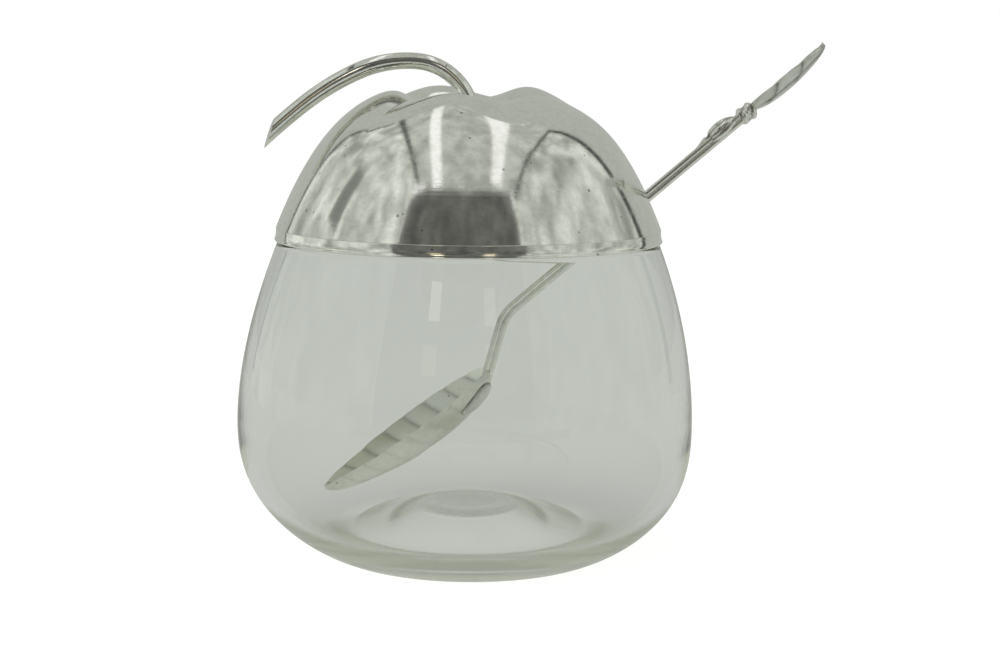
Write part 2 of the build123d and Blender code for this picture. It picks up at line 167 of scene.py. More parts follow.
print("pattern helpers ready")

# %% Helpers that start and close a finish
def new_finish(name):
    """An empty material with its output node."""
    material = bpy.data.materials.new(name)
    material.use_nodes = True
    tree = material.node_tree
    tree.nodes.clear()
    return material, tree, tree.nodes.new("ShaderNodeOutputMaterial")


def object_place(tree):
    """The place on the object itself, in metres, so that a pattern stays put when it moves."""
    return tree.nodes.new("ShaderNodeTexCoord").outputs["Object"]


def show(tree, shader, output):
    """Connect a shader to the surface."""
    tree.links.new(shader.outputs[0], output.inputs["Surface"])


def seen_in_glass_or_metal(tree, rays):
    """1 for rays that a mirror or a glass sends on."""
    kinds = rays.outputs["Is Glossy Ray"], rays.outputs["Is Transmission Ray"]
    return arithmetic(tree, "MAXIMUM", *kinds)


print("finish helpers ready")

# %% [markdown]
# ## Floor and soft light
# The pot stands on a plain pale floor. For the camera the floor and the world are white, and
# only the pot's soft shadow stays. The white is added by the Light Path node for camera rays, and
# less of it for rays through the glass, so that it doesn't light the pot. Right under the pot the
# floor is painted a little brighter as seen through the glass and in the silver: a painted pool
# of light that stands in for the light a glass pot gathers under itself.

# %% World
world = bpy.data.worlds.new("studio")
bpy.context.scene.world = world
world.use_nodes = True
tree = world.node_tree
tree.nodes.clear()
rays = tree.nodes.new("ShaderNodeLightPath")
mirrored = seen_in_glass_or_metal(tree, rays)
seen = arithmetic(tree, "MAXIMUM", rays.outputs["Is Camera Ray"], mirrored)
plain = add_node(tree, "ShaderNodeBackground", color=(0.93, 0.97, 0.94, 1), strength=0.62)
white = add_node(tree, "ShaderNodeBackground", color=(1, 1, 1, 1), strength=1.0)
mixed = add_node(
    tree, "ShaderNodeMixShader", in_0=seen, in_1=plain.outputs[0], in_2=white.outputs[0]
)
show(tree, mixed, tree.nodes.new("ShaderNodeOutputWorld"))
print("world: white behind the pot, plain light on it")

# %% Floor
floor_material, tree, output = new_finish("pale floor")
paper = add_node(tree, "ShaderNodeBsdfDiffuse", color=(0.12, 0.127, 0.117, 1), roughness=0.5)
rays = tree.nodes.new("ShaderNodeLightPath")
white_seen = 0.97
painted_light_under_pot = 0.545
white_through = 0.43
# Painted pool of light: within about 3 cm of the pot's middle the floor glows brighter for rays
# through the glass or off the silver.
from_middle = add_node(
    tree, "ShaderNodeVectorMath", {"operation": "LENGTH"}, in_0=object_place(tree)
).outputs["Value"]
painted_pool_of_light = span(tree, from_middle, 18 * mm, 36 * mm, painted_light_under_pot, white_through)
lift = arithmetic(tree, "MULTIPLY", rays.outputs["Is Camera Ray"], white_seen)
lift = arithmetic(tree, "MULTIPLY_ADD", seen_in_glass_or_metal(tree, rays), painted_pool_of_light, lift)
glow = add_node(tree, "ShaderNodeEmission", color=(0.985, 1, 0.965, 1), strength=lift)
both = add_node(tree, "ShaderNodeAddShader", in_0=paper.outputs[0], in_1=glow.outputs[0])
show(tree, both, output)

floor_half = 1.5
floor_mesh = bpy.data.meshes.new("floor")
corners = [(x * floor_half, y * floor_half, 0) for x, y in ((-1, -1), (1, -1), (1, 1), (-1, 1))]
floor_mesh.from_pydata(corners, [], [(0, 1, 2, 3)])
floor_mesh.materials.append(floor_material)
floor = bpy.data.objects.new("floor", floor_mesh)
bpy.context.scene.collection.objects.link(floor)
print("floor", 2 * floor_half, "m square")

# %% [markdown]
# ## Light box
# Polished silver shows whatever stands round it, so its surroundings matter as much as its
# finish. The pot stands in a white light box, the kind that small wares are put on show in:
# cloth walls, a top panel with two long lamps, dark seams where the cloths meet, and a dark
# opening in front with two dim warm lamps of the room behind it. All of it is hidden from the
# camera, so only the silver and the faint gloss on the glass show it. The glass itself looks
# through a plain pale dome instead, because light box seams would draw stripes in it.

# %% Helpers for the light box
box_height = 0.70
box_floor = 90 * mm


def panel(name, corners, colour, strength, folds=0.0):
    """A flat glowing panel of the light box. Corners are in shares of the box's height, from a
    point in the lid. Folds is how much the cloth's brightness varies."""
    material, tree, output = new_finish(name)
    shading = grain(tree, object_place(tree), 9.0, 5.0, 0.65, 0.5)
    shading = span(tree, shading, 0.3, 0.7, strength * (1 - folds), strength * (1 + folds))
    glow = add_node(tree, "ShaderNodeEmission", color=(*colour, 1), strength=shading)
    show(tree, glow, output)
    points = [
        (x * box_height, y * box_height, max(2 * mm, box_floor + z * box_height))
        for x, y, z in corners
    ]
    mesh = bpy.data.meshes.new(name)
    mesh.from_pydata(points, [], [tuple(range(len(points)))])
    mesh.materials.append(material)
    made = bpy.data.objects.new(name, mesh)
    bpy.context.scene.collection.objects.link(made)
    for kind in ("camera", "diffuse", "shadow", "transmission"):
        setattr(made, "visible_" + kind, False)
    return made


def upright(name, start, end, low, high, colour, strength, folds=0.0):
    """An upright panel between two points of the plan."""
    corners = ((*start, low), (*end, low), (*end, high), (*start, high))
    return panel(name, corners, colour, strength, folds)


def flat(name, front, back, half_width, height, colour, strength):
    """A strip of the ceiling that runs from front to back."""
    corners = []
    for (x, y), way in ((front, -1), (front, 1), (back, 1), (back, -1)):
        corners.append((x + way * half_width, y, height))
    return panel(name, corners, colour, strength)


print("panel helpers ready")

# %% Walls, opening and top
left_front = (-0.62, -0.62)
left_back = (-0.62, 0.62)
right_front = (0.60, -0.92)
right_back = (0.60, 0.40)
cloth = (0.97, 1.0, 0.94)
dim_room = (0.97, 0.96, 0.92)
upright("wall_left", left_front, left_back, -0.2, 1.0, cloth, 0.62, folds=0.5)
upright("wall_right", right_front, right_back, -0.2, 1.0, cloth, 0.54, folds=0.5)
upright("wall_back", left_back, right_back, -0.2, 1.0, cloth, 0.48)
upright("opening", (-0.95, -0.95), (0.62, -0.95), -0.2, 1.3, dim_room, 0.13, folds=0.6)
front_edge = (
    (-0.62, -0.64), (-0.5, -0.75), (-0.34, -0.81), (0, -0.87), (0.38, -0.80), (0.60, -0.79)
)
top_corners = [(*place, 1) for place in (*front_edge, right_back, left_back)]
panel("top", top_corners, cloth, 0.50, folds=0.3)
print("walls and top,", round(box_height * 1000), "mm high")

# %% Long lamps, seams and a flap
seam = (0.9, 0.95, 0.9)
flat("long_lamp_left", (-0.375, -0.76), (-0.225, 0.50), 0.058, 0.99, (1, 1, 1), 1.05)
flat("long_lamp_right", (0.32, -0.74), (0.26, 0.38), 0.062, 0.99, (1, 1, 1), 1.0)
flat("seam_top_left", (-0.60, -0.66), (-0.55, 0.62), 0.022, 0.985, seam, 0.06)
flat("seam_top_right", (0.58, -0.82), (0.59, 0.40), 0.024, 0.985, seam, 0.06)
upright("seam_left", (-0.61, 0.575), (-0.60, 0.61), -0.1, 0.98, seam, 0.06)
upright("seam_right", (0.59, 0.335), (0.575, 0.39), -0.1, 0.98, seam, 0.06)
upright("flap_left", (-0.60, -0.02), (-0.60, 0.09), 0.24, 0.46, seam, 0.24)
print("two long lamps, four seams and a flap")

# %% Helper for a patch of a sphere
def patch(name, azimuths, elevations, distance, colour, strength, rows=2, columns=2):
    """A patch of a sphere round the lid, glowing inwards."""
    points = []
    for row in range(rows + 1):
        rise = radians(elevations[0] + (elevations[1] - elevations[0]) * row / rows)
        for column in range(columns + 1):
            turn = radians(azimuths[0] + (azimuths[1] - azimuths[0]) * column / columns)
            points.append((
                distance * sin(turn) * cos(rise) / box_height,
                -distance * cos(turn) * cos(rise) / box_height,
                distance * sin(rise) / box_height,
            ))
    made = panel(name, points, colour, strength)
    faces = []
    for row in range(rows):
        for column in range(columns):
            first = row * (columns + 1) + column
            faces.append((first, first + 1, first + columns + 2, first + columns + 1))
    places = [tuple(point.co) for point in made.data.vertices]
    made.data.clear_geometry()
    made.data.from_pydata(places, [], faces)
    return made


print("patch helper ready")

# %% Warm lamps of the room, and the dome that the glass looks through
warm = (1.0, 0.93, 0.80)
yellow = (1.0, 0.86, 0.50)
patch("room_lamp_left", (-21, -15), (20, 28), 0.60, warm, 2.4)
patch("room_lamp_right", (9, 15), (19, 27), 0.60, warm, 1.3)
patch("table_lamp_left", (-22, -15), (8, 15), 0.60, yellow, 0.9)
patch("table_lamp_right", (9, 15), (8, 15), 0.60, yellow, 0.8)
patch("table_front", (-55, 50), (-30, -7.5), 0.55, dim_room, 0.13)
dome = patch("dome", (-180, 180), (-8, 90), 0.95, (0.97, 1.0, 0.965), 0.43, 16, 32)
dome.visible_transmission = True
dome.visible_glossy = False
print("five patches and a dome")

# %% One broad lamp overhead
lamp_data = bpy.data.lights.new("broad_lamp", "AREA")
lamp_data.shape = "RECTANGLE"
lamp_data.size = 1.2
lamp_data.size_y = 1.2
lamp_data.energy = 14.0
lamp = bpy.data.objects.new("broad_lamp", lamp_data)
lamp.location = (-0.35, -0.35, 1.3)
lamp.rotation_euler = (radians(15), radians(-15), 0)
lamp.visible_glossy = False
lamp.visible_transmission = False
bpy.context.scene.collection.objects.link(lamp)
print("lamp", lamp_data.energy, "W")

# %% [markdown]
# ## Silver
# The mounts are silver plate that has been used and wiped for years. It mirrors the room softly,
# with a faint grey-green tarnish that lies in clouds and gathers in the creases, dark specks,
# fine pits, and scratches that run round the lid from wiping. A painted picture could show them,
# but noise patterns at three scales in the metal's colour, roughness and bump hold up at any
# distance. The spoon's leaves, knot and bud carry the depth of their creases as an attribute,
# and it darkens them.

# %% The silver's colours and scales
bright_silver = (0.87, 0.88, 0.825)
dull_silver = (0.50, 0.52, 0.44)
speck_colour = (0.16, 0.16, 0.13, 1)
dirt_colour = (0.10, 0.10, 0.08, 1)
cloud_scale = 110.0
mottle_scale = 800.0
pit_scale = 2800.0
speck_scale = 430.0
print("clouds", round(1000 / cloud_scale, 1), "mm apart, pits", round(1000 / pit_scale, 2), "mm")

# %% Silver finish
def silver_finish(name, bright, tarnished, roughness, cloudiness, rings, dirt):
    """Tarnished silver plate. Rings is how strongly fine lines run round the upright axis, and
    dirt how dark the creases are."""
    material, tree, output = new_finish(name)
    place = object_place(tree)
    clouds = grain(tree, place, cloud_scale, 8.0, 0.7)
    mottle = grain(tree, place, mottle_scale, 4.0, 0.65)
    pits = grain(tree, place, pit_scale, 3.0, 0.6)
    dull = arithmetic(tree, "MULTIPLY", span(tree, clouds, 0.44, 0.68), 0.34)
    dull = arithmetic(tree, "MULTIPLY_ADD", span(tree, mottle, 0.40, 0.72), 0.4, dull)
    dull = arithmetic(tree, "MULTIPLY", dull, cloudiness)
    colour = blend_colour(tree, dull, (*bright, 1), (*tarnished, 1))
    cells = add_node(tree, "ShaderNodeTexVoronoi", vector=place, scale=speck_scale, randomness=1.0)
    speck_size = grain(tree, place, 160.0, 2.0)
    speck_edge = arithmetic(tree, "MULTIPLY", span(tree, speck_size, 0.48, 0.72), 0.17)
    speck = arithmetic(tree, "LESS_THAN", cells.outputs["Distance"], speck_edge)
    speck = arithmetic(tree, "MULTIPLY", speck, 0.6)
    colour = blend_colour(tree, speck, colour, speck_colour)
    crease = add_node(tree, "ShaderNodeAttribute", {"attribute_name": "crease"}).outputs["Fac"]
    crease = arithmetic(tree, "MULTIPLY", crease, arithmetic(tree, "ADD", mottle, 0.4))
    crease = arithmetic(tree, "MINIMUM", arithmetic(tree, "MULTIPLY", crease, dirt), 0.9)
    colour = blend_colour(tree, crease, colour, dirt_colour)
    stretch = add_node(tree, "ShaderNodeMapping", vector=place, scale=(9.0, 9.0, 4200.0))
    lines = grain(tree, stretch.outputs[0], 1.0, 3.0, 0.7)
    line_mask = arithmetic(tree, "MULTIPLY", span(tree, lines, 0.5, 0.8), rings)
    gloss = arithmetic(tree, "MULTIPLY_ADD", dull, 0.14, roughness)
    gloss = arithmetic(tree, "MULTIPLY_ADD", line_mask, 0.05, gloss)
    gloss = arithmetic(tree, "MULTIPLY_ADD", crease, 0.25, gloss)
    height = arithmetic(tree, "MULTIPLY", pits, 0.25)
    height = arithmetic(tree, "MULTIPLY_ADD", mottle, 0.6, height)
    height = arithmetic(tree, "MULTIPLY_ADD", clouds, 0.7, height)
    height = arithmetic(tree, "MULTIPLY_ADD", line_mask, 0.25, height)
    relief = add_node(tree, "ShaderNodeBump", strength=0.3, distance=0.025 * mm, height=height)
    metal = add_node(
        tree, "ShaderNodeBsdfPrincipled", metallic=1.0, base_color=colour, roughness=gloss,
        normal=relief.outputs[0],
    )
    show(tree, metal, output)
    return material


print("silver rule ready")

# %% The four looks of silver
lid_silver = silver_finish("lid silver", bright_silver, dull_silver, 0.08, 0.5, 1.0, 0.6)
plain_silver = silver_finish("mount silver", bright_silver, dull_silver, 0.07, 0.7, 0.0, 0.8)
spoon_silver = silver_finish("spoon silver", bright_silver, dull_silver, 0.12, 0.7, 0.0, 0.9)
# The spoon's bowl wears a lighter copy of the same silver: its brighter colours are painted light,
# so that the bowl's inside looks brightly lit.
bowl_painted_light_silver, bowl_painted_light_tarnish = (0.97, 0.99, 0.89), (0.78, 0.82, 0.66)
bowl_silver_painted_light = silver_finish("bowl silver painted lighter", bowl_painted_light_silver, bowl_painted_light_tarnish, 0.3, 0.3, 0.0, 0.8)
print("silver finishes ready")

# %% [markdown]
# ## Glass
# The bowl is clear blown glass with a slight grey-green tint, bright and almost without colour
# at the wall and olive in the thick floor. A tint on the surface would be as strong at a thin
# wall as at a thick one, so the colour is an absorption inside the glass. Its surface waves a
# little, as blown glass does, it carries faint smudges and a few seeds of grit, and the disc
# under the floor is ground, so it is rough.

# %% Glass finish
glass_finish, tree, output = new_finish("blown glass")
place = object_place(tree)
waves = grain(tree, place, 28.0, 2.0, 0.5)
film = grain(tree, place, 140.0, 5.0, 0.7)
ground = add_node(tree, "ShaderNodeAttribute", {"attribute_name": "ground"}).outputs["Fac"]
gloss = arithmetic(tree, "MULTIPLY_ADD", ground, 0.3, span(tree, film, 0.58, 0.85, 0.0, 0.03))
relief = add_node(tree, "ShaderNodeBump", strength=0.12, distance=0.4 * mm, height=waves)
seeds = add_node(tree, "ShaderNodeTexVoronoi", vector=place, scale=75.0, randomness=1.0)
seed_size = span(tree, grain(tree, place, 60.0, 1.0), 0.55, 0.75, 0.0, 0.05)
seed = arithmetic(tree, "LESS_THAN", seeds.outputs["Distance"], seed_size)
tint = blend_colour(tree, seed, (0.985, 0.992, 0.985, 1), (0.25, 0.22, 0.15, 1))
clear = add_node(
    tree, "ShaderNodeBsdfPrincipled", base_color=tint, roughness=gloss,
    ior=1.5, transmission_weight=1.0, normal=relief.outputs[0],
)
show(tree, clear, output)
depth = add_node(tree, "ShaderNodeVolumeAbsorption", color=(0.80, 0.86, 0.42, 1), density=6.5)
tree.links.new(depth.outputs[0], output.inputs["Volume"])
print("glass finish ready")

# %% [markdown]
# ## Cement and brass
# Under the collar a thin ring of plaster cement holds it to the neck. The nut and washer inside
# the lid are bare brass, brown with age.

# %% Cement finish
cement_finish, tree, output = new_finish("plaster cement")
grey_plaster = (0.62, 0.60, 0.52, 1)
pale_plaster = (0.82, 0.80, 0.74, 1)
crumbs = grain(tree, object_place(tree), 900.0, 5.0, 0.7)
colour = blend_colour(tree, span(tree, crumbs, 0.3, 0.7), grey_plaster, pale_plaster)
relief = add_node(tree, "ShaderNodeBump", strength=0.5, distance=0.2 * mm, height=crumbs)
chalk = add_node(
    tree, "ShaderNodeBsdfPrincipled", base_color=colour, roughness=0.85, normal=relief.outputs[0]
)
show(tree, chalk, output)
print("cement finish ready")

# %% Brass finish
brass_finish, tree, output = new_finish("bare brass")
bright_brass = (0.80, 0.62, 0.30, 1)
brown_brass = (0.42, 0.30, 0.15, 1)
stain = grain(tree, object_place(tree), 500.0, 5.0, 0.65)
colour = blend_colour(tree, span(tree, stain, 0.4, 0.7), bright_brass, brown_brass)
gloss = span(tree, stain, 0.4, 0.7, 0.25, 0.5)
scuffs = add_node(tree, "ShaderNodeBump", strength=0.3, distance=0.1 * mm, height=stain)
metal = add_node(
    tree, "ShaderNodeBsdfPrincipled", metallic=1.0, base_color=colour, roughness=gloss,
    normal=scuffs.outputs[0],
)
show(tree, metal, output)
print("brass finish ready")

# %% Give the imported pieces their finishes
finishes = {
    "glass_bowl": glass_finish,
    "collar_cement": cement_finish,
    "stem_nut": brass_finish,
    "stem_washer": brass_finish,
    "lid_shell": lid_silver,
}
for name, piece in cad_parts.items():
    if name in finishes:
        finish = finishes[name]
    elif name.startswith("spoon"):
        finish = spoon_silver
    else:
        finish = plain_silver
    for slot in piece.material_slots:
        slot.material = finish
    if not piece.material_slots:
        piece.data.materials.append(finish)
print("finishes on", len(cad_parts), "pieces")

# %% [markdown]
# ## Glass bowl
# The bowl is one blown piece: a resting ring, a full belly, a neck that the collar hides and a
# floor that was pushed up in the middle while it was soft, with a ground disc under it where the
# iron was broken off. It could be turned from a few points and smoothed, but glass shows every
# facet, so its outline is worked out closely and turned in many steps. Its outside follows the
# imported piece's curves. Hand-blown glass is never quite true, so the outline's centre drifts a
# little to the left at the belly and to the right at the foot.

# %% Sizes of the bowl
foot_radius = 26.0
belly_radius = 49.7
belly_height = 30.8
neck_radius = 41.3
neck_height = 69.7
joint_height = 72.5
glass_wall = 2.1
neck_wall = 1.6
floor_radius = 31.0
floor_height = 6.2
floor_dome = 5.2
flat_radius = 8.0
pushed_up = 8.5
inner_belly_rise = 2.0
ring_width = 1.4
ring_height = 0.05
ground_hollow = 0.25
foot_fullness = 2.54
outside_sharpness = 0.74
inside_sharpness = 0.62
shoulder_power = 1.8
ground_radius = 10.75
neck_outer = 40.4
lip_outer = 38.9
lip_inner = 37.4
lip_round = 0.5
lip_top = 76.4
print("bowl", 2 * belly_radius, "mm wide and", lip_top, "mm high")

# %% The line of its wall
def bowl_side(foot, belly, neck, sharpness):
    """Close points from the foot by the belly to the neck, each (radius, height)."""
    line = []
    for index in range(61):
        share = (index / 60) ** 1.7
        swelling = (1 - (1 - share) ** foot_fullness) ** sharpness
        radius = foot[0] + (belly[0] - foot[0]) * swelling
        line.append((radius, foot[1] + (belly[1] - foot[1]) * share))
    for index in range(1, 41):
        share = index / 40
        radius = belly[0] - (belly[0] - neck[0]) * share**shoulder_power
        line.append((radius, belly[1] + (neck[1] - belly[1]) * share))
    return line


print("wall line ready")

# %% Outline of the bowl
def outside_line():
    """From under the middle of the floor, by the resting ring and the belly, to the lip."""
    line = []
    for index in range(13):
        share = index / 12
        line.append((ground_radius * share, pushed_up + ground_hollow * (1 - share**2)))
    for index in range(1, 31):
        share = index / 30
        radius = ground_radius + (foot_radius - ring_width - ground_radius) * share
        fall = share - 0.25 * sin(2 * pi * share) / (2 * pi)
        line.append((radius, pushed_up + (ring_height - pushed_up) * fall))
    foot = (foot_radius, ring_height)
    belly = (belly_radius, belly_height)
    line.extend(bowl_side(foot, belly, (neck_radius, neck_height), outside_sharpness))
    line.extend([(neck_outer, neck_height), (neck_outer, joint_height)])
    lip_middle = (lip_outer + lip_inner) / 2
    lip_half = (lip_outer - lip_inner) / 2
    for index in range(9):
        turn = pi * index / 8
        line.append((lip_middle + lip_half * cos(turn), lip_top - lip_round * (1 - sin(turn))))
    return line


def inside_line():
    """From the middle of the floor's top, by the corner and the belly, to the neck."""
    line = []
    for index in range(30):
        radius = floor_radius * index / 30
        rise = (1 + cos(pi * max(0.0, radius - flat_radius) / (floor_radius - flat_radius))) / 2
        line.append((radius, floor_height + floor_dome * rise))
    belly = (belly_radius - glass_wall, belly_height + inner_belly_rise)
    neck = (neck_radius - neck_wall, neck_height)
    line.extend(bowl_side((floor_radius, floor_height), belly, neck, inside_sharpness))
    return line


bowl_outline = outside_line() + inside_line()[::-1]
print("outline points", len(bowl_outline))

# %% Put a finished piece in its place
def finish_piece(name, mesh, body, finish, sharp_angle=None):
    """Give a new mesh its finish, smooth faces and place in the model."""
    mesh.polygons.foreach_set("use_smooth", [True] * len(mesh.polygons))
    if sharp_angle is not None:
        mesh.set_sharp_from_angle(angle=radians(sharp_angle))
    mesh.materials.clear()
    mesh.materials.append(finish)
    made = bpy.data.objects.new(name, mesh)
    bpy.context.scene.collection.objects.link(made)
    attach(made, body)
    return made


print("placing ready")

# %% Turn a piece about the pot's axis
def turned_mesh(name, outline, steps, drift=None):
    """A closed mesh turned about the axis. An outline either starts and ends on the axis or is
    a loop. Drift gives a ring's centre in X from its height."""
    points = []
    rings = []
    for radius, height in outline:
        centre = drift(height) if drift else 0.0
        if radius == 0:
            rings.append([len(points)])
            points.append((centre * mm, 0, height * mm))
            continue
        ring = []
        for step in range(steps):
            turn = 2 * pi * step / steps
            x = (centre + radius * cos(turn)) * mm
            ring.append(len(points))
            points.append((x, radius * mm * sin(turn), height * mm))
        rings.append(ring)
    if len(rings[0]) > 1:
        rings.append(rings[0])
    faces = []
    for lower, upper in zip(rings, rings[1:]):
        for step in range(steps):
            after = (step + 1) % steps
            if len(lower) == 1:
                faces.append((lower[0], upper[after], upper[step]))
            elif len(upper) == 1:
                faces.append((lower[step], lower[after], upper[0]))
            else:
                faces.append((lower[step], lower[after], upper[after], upper[step]))
    mesh = bpy.data.meshes.new(name)
    mesh.from_pydata(points, [], faces)
    mesh.validate()
    return mesh


print("turning ready")

# %% Turn the bowl
most_drift = 0.5


def blown_drift(height):
    """How far the blown bowl's centre lies to the right at this height."""
    if height < belly_height:
        return most_drift * cos(pi * height / belly_height)
    rise = min((height - belly_height) / (neck_height - belly_height), 1.0)
    return -most_drift * (1 + cos(pi * rise)) / 2


bowl_mesh = turned_mesh("blown_bowl", bowl_outline, 192, blown_drift)
print("bowl faces", len(bowl_mesh.polygons))

# %% [markdown]
# The disc is ground all over, the rest of the underside is dulled by years of being set down, and
# the foot is worn a little. An attribute says how much at each point, and the finish reads it.

# %% Mark where the bowl is ground and worn
disc_top = 9.5
wear_top = 12.0
wear_fade = 5.0


def ground_share(radius, height):
    """How rough the glass is here, from 0, clear, to 1, ground."""
    if radius < ground_radius + 0.2 and height < disc_top:
        return 1.0
    underside_top = 0.6 + pushed_up * (25.5 - radius) / 14.5
    if height < underside_top:
        return 0.8
    worn = max(0.0, min(1.0, (wear_top - height) / wear_fade))
    return 0.5 * worn * min(1.0, radius / 18.0)


ground = bowl_mesh.attributes.new("ground", "FLOAT", "POINT")
for point, mark in zip(bowl_mesh.vertices, ground.data):
    mark.value = ground_share(hypot(point.co.x, point.co.y) / mm, point.co.z / mm)
blown_bowl = finish_piece("blown_bowl", bowl_mesh, "pot", glass_finish)
blown_bowl.visible_shadow = False
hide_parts("glass_bowl")
print("ground points", sum(mark.value == 1.0 for mark in ground.data))

# %% [markdown]
# ## Collar band
# The collar is spun from sheet silver. Its outside goes on in line with the lid and flares only
# at the bottom, and its lower edge is rolled over the glass, as an edge of thin sheet is, so that
# it isn't sharp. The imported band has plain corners, so a finer one is turned from a rounded
# outline.

# %% Turn the collar band
lid_radius = 41.7
collar_inner = 40.7
band_top = joint_height + 0.06
band_fall = 2.45
edge_roll = 0.3
band = [
    (collar_inner, neck_height + 0.1),
    (collar_inner, band_top - 0.12),
    (collar_inner + 0.12, band_top),
    (lid_radius, band_top),
]
for index in range(1, 17):
    share = index / 16
    drop = band_fall * share
    band.append((lid_radius + 0.03 * drop + 0.3 * share**5, band_top - drop))
edge_radius, edge_height = band[-1]
for index in range(1, 9):
    turn = radians(12 - 170 * index / 8)
    band.append((edge_radius + edge_roll * (cos(turn) - 1), edge_height + edge_roll * sin(turn)))
band_mesh = turned_mesh("collar_band", list(reversed(band)), 256)
collar_band = finish_piece("collar_band", band_mesh, "pot", lid_silver)
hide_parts("neck_collar")
print("collar band faces", len(band_mesh.polygons))

# %% [markdown]
# ## Lid
# The lid is beaten from one sheet of silver: a squarish dome that sinks to the stem like the top
# of an apple, with five lobes and a crease between each two. It could be sculpted, but its shape
# follows a rule: a crest line for the dome, a window that says where the lobes show, and a wave
# across each lobe. A Geometry Nodes tree works that rule out on a grid, so every size stays a
# named input that can be turned up and down while looking at the lid.

# %% The lid's sizes
lid_foot = 72.6
lid_sizes = {
    "Radius": lid_radius,
    "Rise": 31.0,
    "Shoulder power": 3.42,
    "Dimple depth": 8.2,
    "Dimple reach": 12.4,
    "Dimple power": 4.0,
    "Flat radius": 3.5,
    "Valley depth": 1.7,
    "Valley radius": 18.7,
    "Valley reach": 10.2,
    "Valley fade": 4.0,
    "Rim power": 8.0,
    "Crease share": 0.5,
    "Sheet": 0.9,
    "Stud hole": 1.2,
    "Stem offset": 0.5,
    "Foot height": lid_foot,
}
valley_azimuths = (23.0, 97.0, 163.5, 243.5, 312.5)
lobe_lifts = (-0.5, 0.8, 0.8, 0.1, 0.0)
print("lid", 2 * lid_radius, "mm wide,", len(lobe_lifts), "lobes")

# %% The lid's rule as nodes
def bell(tree, value, middle, width, power=2.0):
    """exp(-(|value - middle| / width) ** power), a bump that is 1 at the middle."""
    off = arithmetic(tree, "ABSOLUTE", arithmetic(tree, "SUBTRACT", value, middle))
    raised = arithmetic(tree, "POWER", arithmetic(tree, "DIVIDE", off, width), power)
    return arithmetic(tree, "EXPONENT", arithmetic(tree, "MULTIPLY", raised, -1.0))


def lid_height(tree, size, radius, fall, lift):
    """The lid's height at this radius. The window says how strongly its lobes show there."""
    radius = arithmetic(tree, "MAXIMUM", radius, size["Flat radius"])
    share = arithmetic(tree, "DIVIDE", radius, size["Radius"])
    square = arithmetic(tree, "POWER", share, size["Shoulder power"])
    crest = arithmetic(tree, "MULTIPLY", size["Rise"], arithmetic(tree, "SUBTRACT", 1.0, square))
    sink = bell(tree, radius, 0.0, size["Dimple reach"], size["Dimple power"])
    sink = arithmetic(tree, "MULTIPLY", size["Dimple depth"], sink)
    crest = arithmetic(tree, "SUBTRACT", crest, sink)
    start = bell(tree, radius, size["Flat radius"], size["Valley fade"])
    rim = arithmetic(tree, "POWER", share, size["Rim power"])
    past_start = arithmetic(tree, "SUBTRACT", 1.0, start)
    window = arithmetic(tree, "MULTIPLY", past_start, arithmetic(tree, "SUBTRACT", 1.0, rim))
    middle = bell(tree, radius, size["Valley radius"], size["Valley reach"])
    window = arithmetic(tree, "MULTIPLY", window, middle)
    raised = arithmetic(tree, "MULTIPLY", lift, arithmetic(tree, "SUBTRACT", 1.0, fall))
    sunk = arithmetic(tree, "MULTIPLY", fall, size["Valley depth"])
    wave = arithmetic(tree, "SUBTRACT", raised, sunk)
    return arithmetic(tree, "MULTIPLY_ADD", window, wave, crest)


print("lid rule ready")

# %% A tree with named inputs
def new_tree(name, sizes):
    """An empty Geometry Nodes tree with a start mesh, these named sizes, a material and a
    geometry output. The start mesh comes first, where a modifier puts its object's mesh."""
    tree = bpy.data.node_groups.new(name, "GeometryNodeTree")
    tree.interface.new_socket("Start", in_out="INPUT", socket_type="NodeSocketGeometry")
    for label, value in sizes.items():
        kind = "NodeSocketInt" if isinstance(value, int) else "NodeSocketFloat"
        socket = tree.interface.new_socket(label, in_out="INPUT", socket_type=kind)
        socket.default_value = value
    tree.interface.new_socket("Finish", in_out="INPUT", socket_type="NodeSocketMaterial")
    tree.interface.new_socket("Geometry", in_out="OUTPUT", socket_type="NodeSocketGeometry")
    entry = tree.nodes.new("NodeGroupInput")
    return tree, {socket.name: socket for socket in entry.outputs if socket.name}


def end_tree(tree, geometry, finish):
    """Make instances real, set the finish and connect the output."""
    real = add_node(tree, "GeometryNodeRealizeInstances", geometry=geometry)
    dressed = add_node(tree, "GeometryNodeSetMaterial", geometry=real.outputs[0], material=finish)
    tree.links.new(dressed.outputs[0], tree.nodes.new("NodeGroupOutput").inputs[0])


print("tree helpers ready")

# %% Turn a tree's result into a plain mesh
def grown(name, tree, sizes, finish, start_mesh=None):
    """Run a tree and return its result as a plain mesh."""
    seed_mesh = start_mesh or bpy.data.meshes.new(name + "_seed")
    seed = bpy.data.objects.new(name + "_seed", seed_mesh)
    bpy.context.scene.collection.objects.link(seed)
    modifier = seed.modifiers.new(name, "NODES")
    modifier.node_group = tree
    for item in tree.interface.items_tree:
        if item.in_out == "INPUT" and item.name in sizes:
            modifier[item.identifier] = sizes[item.name]
        if item.in_out == "INPUT" and item.name == "Finish":
            modifier[item.identifier] = finish
    evaluated = seed.evaluated_get(bpy.context.evaluated_depsgraph_get())
    mesh = bpy.data.meshes.new_from_object(evaluated)
    mesh.name = name
    seed.modifiers.remove(modifier)
    bpy.data.objects.remove(seed)
    return mesh


print("growing ready")

